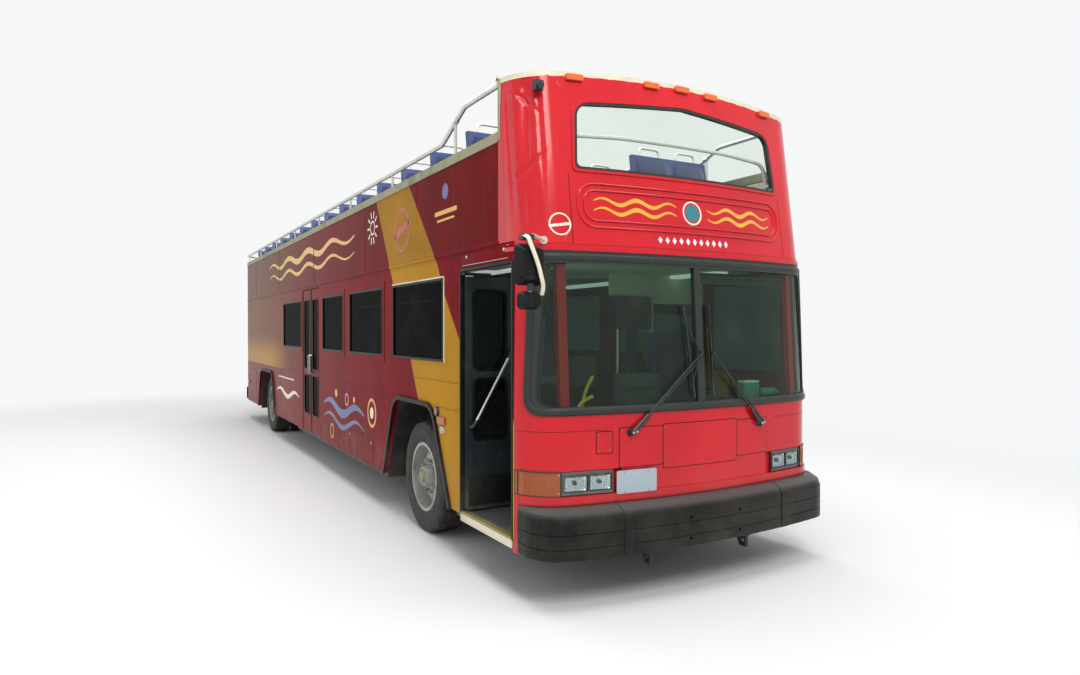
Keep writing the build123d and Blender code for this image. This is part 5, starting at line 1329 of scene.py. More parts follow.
def make_wipers():
    """Parallel rod arms with broad feet, a joint at the blade, its claws and the rubber blade."""
    whole, bosses, caps = Shape(), Shape(), Shape()
    beside = Vector((0, 0.030, 0.006))
    lift = Vector((0.006, 0, 0))
    for wiper in WIPERS:
        foot, joint = wiper["pivot"], wiper["tip"]
        pivot, tip = on_face(*foot, 0.030), on_face(*joint, 0.040)
        run = tip - pivot
        whole.tube([pivot, pivot + run * 0.22], (0.016, 0.010), 12)
        whole.tube([pivot + run * 0.22, pivot + run * 0.6, tip], 0.0055, 8)
        whole.tube([pivot + beside, pivot + beside + run * 0.22], (0.012, 0.007), 10)
        whole.tube([pivot + beside + run * 0.22, tip + Vector((0, 0.014, -0.02))], 0.0045, 8)
        whole.tube([on_face(*joint, 0.016), tip + Vector((0.004, 0, 0))], 0.010, 10)
        (ay, az), (by, bz) = wiper["blade"]
        spine = [on_face(ay + (by - ay) * n / 12, az + (bz - az) * n / 12, 0.014) for n in range(13)]
        whole.tube([spine[2], on_face(*joint, 0.022), spine[10]], 0.004, 8, bend=0.05)
        for n in (1, 7):
            whole.tube([spine[n], spine[n + 2] + lift, spine[n + 4]], 0.003, 6)
        whole.sweep([(point, (1, 0, 0)) for point in spine], BLADE)
        bosses.lathe(WIPER_BOSS, on_face(*foot), face_normal(*foot), 28)
        caps.lathe([(0.0, 0.052), (0.008, 0.051), (0.011, 0.046), (0.011, 0.040), (0.0, 0.040)],
                   on_face(*foot), face_normal(*foot), 20)
        caps.lathe([(0.0, 0.014), (0.009, 0.012), (0.011, 0.0), (0.0, -0.001)], pivot + beside, (1, 0, 0), 16)
    arms = whole.piece("wiper_arms", WIPER_BLACK)
    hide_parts("wipers")
    bosses.piece("wiper_bosses", WIPER_BLACK)
    caps.piece("wiper_boss_caps", BRIGHT_TRIM)


make_face_panels()
make_edging()
make_dented_panel()
make_screen_beads()
make_face_creases()
make_sign()
make_plate()
make_headlamps()
make_corner_lamps()
make_wipers()


# Sides

RIGHT_WINDOWS = [(3.27, 4.51, 1.52, 2.175), (1.76, 2.94, 1.52, 2.175), (0.50, 1.47, 1.52, 2.175),
                 (-2.06, -0.77, 1.52, 2.175)]
LEFT_WINDOWS = RIGHT_WINDOWS + [(-0.62, 0.33, 1.52, 2.175), (4.76, 5.62, 1.40, 2.175)]
WINDOWS = {-1: RIGHT_WINDOWS, 1: LEFT_WINDOWS}
WINDOW_RADIUS = 0.025
GASKET_WIDE = 0.008
FRAME_WIDE = 0.058
SEAMS = {-1: [(-5.76, -0.72), (0.33, 3.28), (4.36, 4.82)], 1: [(-5.76, 3.28), (4.36, 5.68)]}
SHEET_JOINTS = {-1: [1.55, -2.35, -4.55], 1: [1.55, -0.2, -2.35, -4.55]}
UPPER_JOINTS = [3.9, 2.35, 0.0, -2.4, -4.75]
RIVET_ROWS = [dict(x0=-5.70, x1=5.44, z=2.357, pitch=0.075, proud=0.008),
              dict(x0=-5.70, x1=5.44, z=3.022, pitch=0.12, proud=0.0),
              dict(x0=-5.70, x1=-0.76, z=1.1625, pitch=0.09, proud=0.003),
              dict(x0=0.36, x1=3.24, z=1.1625, pitch=0.09, proud=0.003)]
RIVET_HEAD = 0.0042
FLAPS = {-1: [(-5.55, -4.72, 0.47, 1.02), (1.70, 2.62, 0.42, 0.66)],
         1: [(-5.55, -4.72, 0.47, 1.02), (-2.30, -1.30, 0.45, 1.0), (0.20, 1.30, 0.45, 1.0),
             (4.80, 5.30, 0.52, 1.0)]}
FILM_PROUD = 0.0006
OVER_FILM = 0.0008


def ray(turn):
    """Short bar that points away from the rays' middle."""
    u, v = cos(turn), sin(turn)
    return bar(2.62 + 0.10 * u, 2.80 + 0.10 * v, 2.62 + 0.17 * u, 2.80 + 0.17 * v, 0.022)


SIDE_FILMS = [
    ("side_waves", GOLD_FILM, FILM_PROUD,
     [wave(-3.30, 1.95, 2.80, 0.05, 4, 0.085), wave(-3.30, 1.95, 2.62, 0.05, 4, 0.055)], []),
    ("side_rays", CREAM_FILM, FILM_PROUD, [ray(2 * pi * n / 10) for n in range(10)],
     [ring(2.62, 2.80, 0.075, 0.018)]),
    ("band_rings", RED_FILM, FILM_PROUD, [bar(3.30, 2.615, 3.72, 2.735, 0.05)],
     [ring(3.51, 2.675, 0.20, 0.018), ring(3.51, 2.675, 0.165, 0.008)]),
    ("front_discs", BLUE_FILM, FILM_PROUD, [disc(4.55, 2.86, 0.062)], []),
    ("front_bars", GOLD_FILM, FILM_PROUD,
     [bar(4.33, 2.70, 4.78, 2.70, 0.035), bar(4.38, 2.64, 4.73, 2.64, 0.018)], []),
    ("low_waves", BLUE_FILM, FILM_PROUD,
     [wave(0.55, 2.30, 0.86, 0.06, 1.5, 0.10), wave(0.55, 2.30, 0.70, 0.06, 1.5, 0.06)], []),
    ("low_discs", GOLD_FILM, FILM_PROUD, [disc(1.15, 1.02, 0.05), disc(1.92, 1.00, 0.035)],
     [ring(2.58, 0.92, 0.15, 0.03), ring(0.95, 0.55, 0.09, 0.02)]),
    ("low_rings", CREAM_FILM, OVER_FILM, [disc(2.58, 0.92, 0.06)], [ring(1.62, 0.98, 0.07, 0.012)]),
    ("rear_waves", CREAM_FILM, FILM_PROUD,
     [wave(-2.65, -0.95, 0.80, 0.05, 1.5, 0.07), bar(-2.5, 1.03, -1.3, 1.03, 0.02)], []),
]


def make_window_trim(side):
    """Black rubber round each pane, flat painted frames round all but the front one with a painted shadow
    line round their edge, and its drip rail.
    """
    wrap = on_side(side)
    rubbers = Shape()
    frames = Shape()
    for number, box in enumerate(WINDOWS[side]):
        edge = around(box, GASKET_WIDE, WINDOW_RADIUS + GASKET_WIDE)
        lip = around(box, 0.004, WINDOW_RADIUS + 0.004)
        rubbers.band(edge, lip, wrap, 0.0045)
        rubbers.band(lip, around(box, -0.012, WINDOW_RADIUS - 0.01), wrap, 0.0075, -0.0055)
        if number:
            outer = around(box, GASKET_WIDE + FRAME_WIDE, 0.006)
            frames.band(outer, edge, wrap, 0.004)
            # A black line round each painted frame: painted shadow at its raised edge.
            rubbers.band(grown(outer, 0.003), outer, wrap, 0.0008)
    where = SIDE_NAMES[side]
    rubbers.piece(f"window_rubbers_and_frame_shadows_{where}", BLACK_RUBBER)
    frames.piece(f"window_frames_{where}", PAINT_SIDE)
    x0, x1, z0, z1 = WINDOWS[side][0]
    x_edge, z_edge = x1 + GASKET_WIDE, z1 + GASKET_WIDE
    rail = Shape()
    rail.block_on(wrap, x0 - 0.02, x1 + 0.016, z_edge, z_edge + 0.012, 0.005)
    rail.block_on(wrap, x_edge, x_edge + 0.012, z0 - 0.01, z_edge, 0.005)
    rail.piece(f"window_drip_rail_{where}", TRIM_CREAM)


def make_seams(side):
    """Lap seams along the panels, painted shadow lines under and beside the laps, and the dark joints between
    sheets.
    """
    wrap = on_side(side)
    strips = Shape()
    lines = Shape()
    for x0, x1 in SEAMS[side]:
        strips.block_on(wrap, x0, x1, PANEL_SEAM_Z - 0.004, PANEL_SEAM_Z + 0.012, 0.0032)
        # Black lines under the laps and beside the joint strips: painted shadow.
        lines.block_on(wrap, x0, x1, PANEL_SEAM_Z - 0.0075, PANEL_SEAM_Z - 0.004, 0.001)
    strips.block_on(wrap, 3.30, 4.80, 1.362, 1.374, 0.0028)
    lines.block_on(wrap, 3.30, 4.80, 1.3585, 1.362, 0.001)
    for x in SHEET_JOINTS[side]:
        lines.block_on(wrap, x - 0.0018, x + 0.0018, 0.385, PANEL_SEAM_Z - 0.008, 0.0009)
    for x in UPPER_JOINTS:
        strips.block_on(wrap, x - 0.014, x + 0.014, 2.378, 3.036, 0.002)
        lines.block_on(wrap, x - 0.0165, x - 0.014, 2.378, 3.036, 0.0007)
    lines.block_on(wrap, -5.78, 5.48, 2.3715, 2.3745, 0.001)
    where = SIDE_NAMES[side]
    strips.piece(f"panel_laps_{where}", PAINT_SIDE)
    lines.piece(f"panel_shadow_and_joint_lines_{where}", BLACK_RUBBER)


def make_rivets(side):
    """Rows of low dome rivets along the seams."""
    rows = []
    for row in RIVET_ROWS:
        count = int((row["x1"] - row["x0"]) / row["pitch"])
        mesh = DOME_ROW.mesh(Count=count, Pitch=(row["pitch"], 0.0, 0.0), Head=RIVET_HEAD)
        at = (row["x0"], side * (HALF_WIDTH + row["proud"]), row["z"])
        rows.append((mesh, Matrix.Translation(at) @ Matrix.Rotation(radians(-90 * side), 4, "X")))
    for x in UPPER_JOINTS:
        mesh = DOME_ROW.mesh(Count=9, Pitch=(0.0, 0.075, 0.0), Head=RIVET_HEAD)
        at = (x, side * (HALF_WIDTH + 0.002), 2.41)
        rows.append((mesh, Matrix.Translation(at) @ Matrix.Rotation(radians(90), 4, "X")))
    hang(f"rivets_{SIDE_NAMES[side]}", joined(rows), PAINT_SIDE)


def make_side_motifs(side):
    """Bars, rings and waves in the livery's colours where the side carries pictures and words."""
    for name, material, proud, plates, bands in SIDE_FILMS:
        print_film(f"{name}_{SIDE_NAMES[side]}", on_side(side), material, plates, bands, proud)


def make_side_fittings(side):
    """Small fittings ahead of and behind the front wheel, and flaps with their latches."""
    wrap = on_side(side)
    where = SIDE_NAMES[side]
    out = (0, side, 0)
    cap, rim, flaps, gaps, latches = (Shape() for n in range(5))
    cap.lathe([(0.0, 0.012), (0.030, 0.011), (0.036, 0.006), (0.038, 0.0), (0.0, -0.001)],
              wrap(4.484, 0.97), out, 32)
    cap.piece(f"side_caps_{where}", BRIGHT_TRIM)
    rim.lathe([(0.030, 0.018), (0.040, 0.016), (0.042, 0.0), (0.030, 0.0)], wrap(4.376, 1.11), out, 32)
    rim.piece(f"side_lamp_rims_{where}", DARK_PLASTIC)
    for box in FLAPS[side]:
        x0, x1, z0, z1 = box
        gaps.plate(around(box, 0.004, 0.014), wrap, 0.0008)
        flaps.plate(around(box, 0.0, 0.01), wrap, 0.0026)
        for x in (x0 + 0.06, x1 - 0.06):
            latches.lathe([(0.0, 0.005), (0.011, 0.005), (0.014, 0.003), (0.014, 0.002), (0.0, 0.002)],
                          wrap(x, z1 - 0.05), out, 20)
            latches.block_on(wrap, x - 0.009, x + 0.009, z1 - 0.0515, z1 - 0.0485, 0.0062)
    gaps.piece(f"flap_gaps_{where}", BLACK_RUBBER)
    flaps.piece(f"flaps_{where}", PAINT_SIDE)
    latches.piece(f"flap_latches_{where}", BRIGHT_TRIM)


for side in SIDES:
    make_window_trim(side)
    make_seams(side)
    make_rivets(side)
    make_side_motifs(side)
    make_side_fittings(side)


# Doors

LEAF_LOW_Z = FLOOR_Z + 0.012
LEAF_HIGH_Z = 2.17
LEAF_REAR_X = 4.882
LEAF_FRONT_X = 5.668
LEAF_HALF_THICK = 0.018
LEAF_Y = (-1.27, -0.877)
LEAF_PANES = [(0.30, 0.56), (0.60, 0.94)]
LEAF_BORDER = 0.062
EDGE_RUBBER = [(-0.016, 0.0), (-0.010, 0.004), (0.010, 0.004), (0.016, 0.0)]
EXIT_LEAF = 0.49
EXIT_FACE_Y = -1.287
EXIT_Z = (0.395, 2.31)
EXIT_PANES = [(0.12, 0.40), (0.44, 0.93)]
EXIT_BORDER = 0.085


def pane_heights(low, high, panes):
    """Lower and upper edge of each pane, from its shares of a leaf's height."""
    return [(low + (high - low) * a, low + (high - low) * b) for a, b in panes]


def make_front_leaf(x_mid, name):
    """Glass rubbers, edge rubbers and kick plate of one open leaf."""
    body = f"front_door_leaf_{name}"
    y0, y1 = LEAF_Y
    rubbers = Shape()
    for way in (-1, 1):
        wrap = across_x(x_mid + way * LEAF_HALF_THICK, way)
        for z0, z1 in pane_heights(LEAF_LOW_Z, LEAF_HIGH_Z, LEAF_PANES):
            box = (y0 + LEAF_BORDER, y1 - LEAF_BORDER, z0, z1)
            rubbers.band(around(box, 0.012, 0.055), around(box, -0.008, 0.038), wrap, 0.006, -0.006)
    for y, way in ((y0, -1), (y1, 1)):
        heights = (LEAF_LOW_Z + 0.01, LEAF_HIGH_Z - 0.01)
        rubbers.loft([[Vector((x_mid + u, y + way * v, z)) for u, v in EDGE_RUBBER] for z in heights])
    rubbers.piece(f"leaf_rubbers_{name}", BLACK_RUBBER, body)
    low = (x_mid - 0.0205, y0 + 0.02, LEAF_LOW_Z + 0.03)
    high = (x_mid + 0.0205, y1 - 0.02, LEAF_LOW_Z + 0.25)
    boxes(f"leaf_kick_plate_{name}", KICK_METAL, (low, high, 0.002), body=body)


def make_doorway():
    """Step edge, sill, jamb seals and header of the front doorway."""
    x0, x1 = DOOR_X
    boxes("step_edge", STEP_YELLOW,
          ((x0 + 0.004, -1.297, FLOOR_Z - 0.012), (x1 - 0.004, -1.245, FLOOR_Z + 0.0035), 0.002))
    boxes("sill_plate", TRIM_CREAM, ((x0 + 0.004, -1.2995, 0.332), (x1 - 0.004, -1.293, 0.386), 0.001))
    jambs = [((x - 0.010, -1.301, 0.39), (x + 0.010, -1.262, 2.215), 0.004) for x in (x0, x1)]
    boxes("doorway_seals", BLACK_RUBBER, *jambs, ((x0, -1.300, 2.205), (x1, -1.262, 2.225), 0.003))
    boxes("door_header_panel", PAINT_SIDE, ((x0 + 0.02, -1.2985, 2.24), (x1 - 0.02, -1.2945, 2.325), 0.0015))
    hinge = Shape()
    hinge.tube([(x0 + 0.05, -1.3, 2.2445), (x1 - 0.05, -1.3, 2.2445)], 0.0035, 8)
    for x in (x0 + 0.12, x1 - 0.12):
        hinge.lathe([(0.0, 0.004), (0.010, 0.004), (0.012, 0.0), (0.0, -0.001)],
                    (x, -1.2985, 2.305), (0, -1, 0), 16)
    hinge.piece("door_header_hinge", BRIGHT_TRIM)
    gold = Shape()
    gold.plate([(5.706, 0.40), (5.722, 0.40), (5.722, 1.12), (5.706, 1.20)], on_side(-1), 0.0008)
    gold.piece("post_gold_edge", GOLD_FILM)


def on_exit_leaf(x, z, off=0.0):
    return Vector((x, EXIT_FACE_Y - off, z))


def make_exit_leaf(hinge_x, toward, name):
    """Glass rubbers, meeting edge and pull of one exit leaf."""
    body = f"exit_door_leaf_{name}"
    tip = hinge_x + toward * EXIT_LEAF
    x0, x1 = sorted((hinge_x, tip))
    low, high = EXIT_Z
    rubbers = Shape()
    for z0, z1 in pane_heights(low, high, EXIT_PANES):
        box = (x0 + EXIT_BORDER, x1 - EXIT_BORDER, z0, z1)
        rubbers.band(around(box, 0.013, 0.052), around(box, -0.008, 0.034), on_exit_leaf, 0.005, -0.007)
    edge = sorted((tip - toward * 0.018, tip + toward * 0.006))
    rubbers.block_on(on_exit_leaf, *edge, low + 0.01, high - 0.01, 0.006)
    rubbers.piece(f"exit_leaf_rubbers_{name}", BLACK_RUBBER, body)
    pull = Shape()
    x = tip - toward * 0.045
    bends = ((1.18, 0.0), (1.19, 0.028), (1.42, 0.028), (1.43, 0.0))
    pull.tube([on_exit_leaf(x, z, off) for z, off in bends], 0.008, 10, bend=0.02)
    pull.piece(f"exit_leaf_pull_{name}", BRIGHT_TRIM, body)


make_front_leaf(LEAF_REAR_X, "rear")
make_front_leaf(LEAF_FRONT_X, "front")
make_doorway()
make_exit_leaf(EXIT_X[0] + 0.007, 1, "rear")
make_exit_leaf(EXIT_X[1] - 0.007, -1, "front")


# Rear end

REAR_WINDOW = (-0.75, 0.75, 1.64, 2.15)


def make_rear():
    """Seams, window rubber, lamp rims, engine door fittings, blank plate space, vents and the tail pipe."""
    back = (-1, 0, 0)
    lines, rubbers, rims, latch, plate, pipe = (Shape() for n in range(6))
    for z in (1.55, 2.345):
        lines.block_on(on_rear, -0.98, 0.98, z - 0.002, z + 0.002, 0.001)
    lines.piece("rear_lines", BLACK_RUBBER)
    rubbers.band(around(REAR_WINDOW, 0.016, 0.04), around(REAR_WINDOW, -0.014, 0.02), on_rear, 0.008, -0.006)
    rubbers.piece("rear_window_rubber", BLACK_RUBBER)
    for y in (-1.01, 1.01):
        for z in (0.80, 0.96, 1.12):
            rims.lathe([(0.0545, 0.026), (0.060, 0.026), (0.066, 0.016), (0.067, 0.0), (0.0545, 0.0)],
                       (REAR_X, y, z), back, 32)
    rims.piece("tail_lamp_rims", BRIGHT_TRIM)
    bars = BAR_ROW.mesh(Count=12, Pitch=(0.105, 0.0, 0.0), Size=(0.09, 0.012, 0.006))
    turn = Matrix.Rotation(radians(90), 4, "Z") @ Matrix.Rotation(radians(90), 4, "X")
    rows = [Matrix.Translation((REAR_X - 0.003, -0.5775, 1.24 - 0.028 * row)) @ turn for row in range(4)]
    strewn("engine_door_vents", DARK_PLASTIC, bars, rows, "engine_door")
    for y in (-0.72, 0.72):
        latch.block((REAR_X - 0.014, y - 0.05, 0.675), (REAR_X + 0.002, y + 0.05, 0.705), 0.004)
        latch.lathe([(0.0, 0.02), (0.011, 0.019), (0.014, 0.012), (0.014, 0.0), (0.0, 0.0)],
                    (REAR_X, y, 0.74), back, 20)
    latch.piece("engine_door_latches", BRIGHT_TRIM, "engine_door")
    plate.plate(around((-0.1525, 0.1525, 0.655, 0.735), 0.0, 0.008), on_rear, 0.004)
    plate.piece("rear_blank_plate", PLATE_SHADED_WHITE, "engine_door")
    pipe.tube([(-5.3, 0.62, 0.42), (-5.7, 0.62, 0.40), (-5.98, 0.62, 0.34)], 0.05, 20, bend=0.12)
    pipe.piece("tail_pipe", CAST)


make_rear()


# Inside

SEAT_DEPTH = 0.42
SEAT_WIDTH = 0.87
SEAT_HEIGHT = 0.43
SEAT_THICK = 0.08
SEAT_BACK = 0.52
SEAT_Y = 0.78
BACK_LEAN = 0.075
UPPER_ROWS = 14
UPPER_FIRST_X = 5.0
UPPER_PITCH = 0.76
STAIRWELL_X = (-0.78, 1.62)
DRIVER_SEAT = (5.05, 0.72)


def seat_places():
    """Centre of each double seat and the floor that it stands on."""
    places = []
    for row in range(UPPER_ROWS):
        x = UPPER_FIRST_X - row * UPPER_PITCH
        places.append((x, -SEAT_Y, DECK_Z))
        if not STAIRWELL_X[0] < x < STAIRWELL_X[1]:
            places.append((x, SEAT_Y, DECK_Z))
    places += [(x, -SEAT_Y, FLOOR_Z) for x in (2.45, 1.68, 0.91)] + [(2.45, SEAT_Y, FLOOR_Z)]
    places += [(x, side * SEAT_Y, REAR_FLOOR_Z) for x in (-1.7, -2.45) for side in SIDES]
    return places + [(-5.45, side * SEAT_Y, BENCH_FLOOR_Z) for side in SIDES]


def inflate(name, width, depth, thick, voxel, limit):
    """A padded cushion: cloth blown up from a slab a little under size and held to its base."""
    blank = Shape()
    edge = around((-depth / 2, depth / 2, -width / 2, width / 2), -0.008, 0.05, 6)
    blank.loft([[(x, y, z) for x, y in edge] for z in (0.004, thick - 0.014)])
    pad = added(name, as_mesh(blank.mesh, name))
    remesh = pad.modifiers.new("even", "REMESH")
    remesh.mode = "VOXEL"
    remesh.voxel_size = voxel
    even = evaluated(pad)
    pad.modifiers.clear()
    pad.data = even
    start = [vertex.co.copy() for vertex in even.vertices]
    held = pad.vertex_groups.new(name="base")
    held.add([vertex.index for vertex in even.vertices if vertex.co.z < 0.012], 1.0, "REPLACE")
    cloth = pad.modifiers.new("cloth", "CLOTH")
    cloth.settings.use_pressure = True
    cloth.settings.uniform_pressure_force = 4.0
    cloth.settings.effector_weights.gravity = 0.0
    cloth.settings.vertex_group_mass = "base"
    cloth.point_cache.frame_start = 1
    cloth.point_cache.frame_end = 20
    for step in range(1, 21):
        bpy.context.scene.frame_set(step)
    pad.data = evaluated(pad)
    pad.modifiers.clear()
    bpy.context.scene.frame_set(1)
    for vertex, before in zip(pad.data.vertices, start):
        move = vertex.co - before
        if move.length > limit:
            vertex.co = before + move.normalized() * limit
    result = pad.data
    bpy.data.objects.remove(pad)
    return result


def sew(mesh, width, depth, channels):
    """Presses the seams into a pad: one between the two places and channels across each."""
    for vertex in mesh.vertices:
        if vertex.co.z < 0.02:
            continue
        press = 0.016 * bell(vertex.co.y, 0.012)
        for at in channels:
            press += 0.005 * bell(vertex.co.x - at, 0.008)
        rim = min(width / 2 - abs(vertex.co.y), depth / 2 - abs(vertex.co.x))
        press += 0.004 * bell(rim - 0.022, 0.006)
        vertex.co.z -= press


def make_seats(places):
    """Padded cushions and their stands for every double seat, and the driver's cushion and pedestal."""
    seat_z = SEAT_HEIGHT - SEAT_THICK
    pad = inflate("cushion_blank", SEAT_WIDTH, SEAT_DEPTH, SEAT_THICK, 0.014, 0.018)
    sew(pad, SEAT_WIDTH, SEAT_DEPTH, (-0.09, 0.03))
    spots = [Matrix.Translation((x, y, floor + SEAT_HEIGHT - SEAT_THICK)) for x, y, floor in places]
    padded = strewn("seat_cushions", SEAT_CLOTH, pad, spots, sharp=80.0)
    x, y = DRIVER_SEAT
    pad = inflate("driver_blank", 0.48, 0.46, 0.10, 0.011, 0.018)
    sew(pad, 0.48, 0.46, (-0.12, 0.12))
    spot = Matrix.Translation((x, y, PLATFORM_Z + 0.33))
    seat = strewn("driver_cushion", DRIVER_CLOTH, pad, [spot], sharp=80.0)
    stand = Shape()
    stand.block((-0.155, -0.40, seat_z - 0.024), (0.15, 0.40, seat_z - 0.002), 0.006)
    for leg in (-0.045, 0.045):
        for foot, knee, top in ((-0.14, -0.05, -0.03), (0.12, 0.04, 0.02)):
            bends = [(foot, leg, 0.008), (knee, leg, 0.05), (top, leg, seat_z - 0.02)]
            stand.tube(bends, 0.014, 10, bend=0.05)
    stand.block((-0.15, -0.045, 0.0005), (0.13, 0.045, 0.010), 0.003)
    spots = [Matrix.Translation(place) for place in places]
    stands = strewn("seat_stands", BLACK_PLASTIC, as_mesh(stand.mesh, "stand"), spots)
    pedestal = Shape()
    pedestal.lathe([(0.0, 0.0), (0.088, 0.0), (0.088, 0.02), (0.055, 0.05), (0.05, 0.24), (0.085, 0.31),
                    (0.085, 0.33), (0.0, 0.33)], (x, y, PLATFORM_Z + 0.0005), (0, 0, 1), 32)
    foot = pedestal.piece("driver_pedestal", BLACK_PLASTIC)
    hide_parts("seat_bases")
    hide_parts("seat_bases")
    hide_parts("seat_bases")
    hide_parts("seat_bases")


def make_backs(places):
    """Sewn pad on the front of each back and a pale grab handle over its top corner."""
    backs = Shape()
    handles = Shape()
    for x, y, floor in places:
        low = floor + SEAT_HEIGHT
        back = x - SEAT_DEPTH / 2
        top = low + SEAT_BACK
        x_top = back - BACK_LEAN + 0.022
        for y_mid in (y - 0.205, y + 0.205):
            rings = []
            for share in (n / 8 for n in range(9)):
                z = low + 0.06 + (SEAT_BACK - 0.10) * share
                face = back + 0.065 + (-BACK_LEAN - 0.02) * (z - low) / SEAT_BACK
                swell = 0.022 * sin(pi * min(1.0, share * 1.02)) ** 0.5 + 0.003
                swell -= 0.006 * bell(share - 0.62, 0.03)
                half = 0.185 * (1 - 0.12 * abs(2 * share - 1) ** 6)
                section = [(0.55, -0.97), (0.95, -0.7), (1.0, 0.0), (0.95, 0.7), (0.55, 0.97)]
                row = [(face + swell * out, y_mid + half * across) for out, across in section]
                row = [(face - 0.002, y_mid - half)] + row + [(face - 0.002, y_mid + half)]
                rings.append([Vector((px, py, z)) for px, py in row])
            backs.loft(rings)
            left, right = y_mid - 0.11, y_mid + 0.11
            hoop = [(x_top, left, top - 0.03), (x_top - 0.012, left, top + 0.075),
                    (x_top - 0.012, right, top + 0.075), (x_top, right, top - 0.03)]
            handles.tube(hoop, 0.012, 8, bend=0.09)
    backs.piece("seat_back_pads", SEAT_CLOTH, sharp=60.0)
    handles.piece("seat_handles", HANDLE_WHITE)


def make_driver_back():
    """Waisted back pad on the driver's seat, and its arm rests."""
    x, y = DRIVER_SEAT
    low = PLATFORM_Z + 0.43
    pad = Shape()
    rings = []
    for share in (n / 14 for n in range(15)):
        z = low + 0.02 + 0.68 * share
        face = x - 0.150 - 0.05 * (z - low) / 0.70
        half = 0.195 - 0.02 * sin(pi * share) ** 2 - (0.05 * max(0.0, share - 0.75) / 0.25)
        swell = 0.035 * (0.35 + 0.65 * sin(pi * min(1.0, 0.06 + 0.9 * share)) ** 0.6)
        swell -= 0.008 * bell(share - 0.72, 0.02)
        section = []
        for across in (-1 + step / 4 for step in range(9)):
            out = swell * (1.15 - 0.25 * cos(pi * across)) * max(0.05, 1 - abs(across) ** 8)
            section.append(Vector((face + out, y + half * across, z)))
        section += [Vector((face - 0.003, y + half, z)), Vector((face - 0.003, y - half, z))]
        rings.append(section)
    pad.loft(rings)
    pad.piece("driver_back_pad", DRIVER_CLOTH, sharp=60.0)
    arms = Shape()
    for y_arm in (y + side * 0.235 for side in SIDES):
        arms.tube([(x - 0.17, y_arm, low + 0.20), (x + 0.12, y_arm, low + 0.21)], (0.026, 0.020), 14)
    arms.piece("driver_arm_rests", BLACK_PLASTIC)


def make_dash():
    """Instrument hood with dials, switch rows, fare box, and what lies and stands on the dash."""
    y = DRIVER_SEAT[1]
    low = ((-0.03, -0.30), (0.16, -0.26), (0.16, 0.26), (-0.03, 0.30))
    high = ((-0.02, -0.24), (0.09, -0.20), (0.09, 0.20), (-0.02, 0.24))
    hood, dials, tray, straps = (Shape() for n in range(4))
    hood.loft([[(x + u, y + v, z) for u, v in outline]
               for x, z, outline in ((5.62, 1.150, low), (5.62, 1.215, low), (5.66, 1.245, high))])
    hood.piece("instrument_hood", BLACK_PLASTIC)
    for at, radius in ((-0.17, 0.045), (-0.06, 0.055), (0.06, 0.055), (0.17, 0.045)):
        profile = [(0.0, 0.004), (radius - 0.005, 0.004), (radius, 0.010), (radius + 0.003, 0.0),
                   (0.0, -0.001)]
        dials.lathe(profile, (5.588, y + at, 1.185), (-1, 0, 0.15), 28)
    dials.piece("dials", BRIGHT_TRIM)
    switches = BAR_ROW.mesh(Count=9, Pitch=(0.045, 0.0, 0.0), Size=(0.028, 0.018, 0.014))
    turn = Matrix.Rotation(radians(-90), 4, "Z") @ Matrix.Rotation(radians(48), 4, "X")
    strewn("dash_switches", GREY_PLASTIC, switches, [Matrix.Translation((5.52, 0.98, 1.115)) @ turn])
    boxes("fare_box", BLACK_PLASTIC, ((5.40, -0.28, FLOOR_Z), (5.62, 0.02, 1.32), 0.012),
          ((5.38, -0.27, 1.32), (5.60, 0.01, 1.44), 0.02))
    tray.block((5.60, -0.60, 1.1655), (5.86, -0.34, 1.1715), 0.002)
    tray.block((5.70, 0.10, 1.1655), (5.90, 0.34, 1.225), 0.01)
    tray.block((5.80, 0.60, 1.1655), (5.87, 0.76, 1.365), 0.008)
    bottle = [(0.0, 0.0), (0.030, 0.0), (0.034, 0.01), (0.034, 0.15), (0.014, 0.175), (0.014, 0.20),
              (0.0, 0.20)]
    tray.lathe(bottle, (5.84, 0.79, 1.284), (0.0, 1.0, 0.0), 20)
    tray.piece("dash_tray", TEAL_PLASTIC)
    boxes("dash_papers", HANDLE_WHITE, ((5.76, 0.44, 1.1655), (5.86, 0.58, 1.20), 0.004),
          ((5.795, 0.605, 1.365), (5.872, 0.755, 1.380), 0.003))
    boxes("dash_shelf", DARK_PLASTIC, ((5.79, 0.775, 1.1655), (5.89, 1.02, 1.250), 0.006))
    straps.tube([(5.75, -0.80, 1.160), (5.74, -0.76, 1.34), (5.75, -0.70, 1.45)], 0.012, 10, bend=0.08)
    straps.tube([(5.77, -0.87, 1.160), (5.76, -0.81, 1.27), (5.75, -0.70, 1.31)], 0.014, 10, bend=0.08)
    straps.piece("dash_straps", GOLD_FILM)
    runs = ((-0.62, -0.05), (0.02, 0.40), (1.02, 1.10))
    boxes("dash_rail", GREY_PLASTIC, *(((5.56, y0, 1.158), (5.60, y1, 1.1745), 0.004) for y0, y1 in runs))


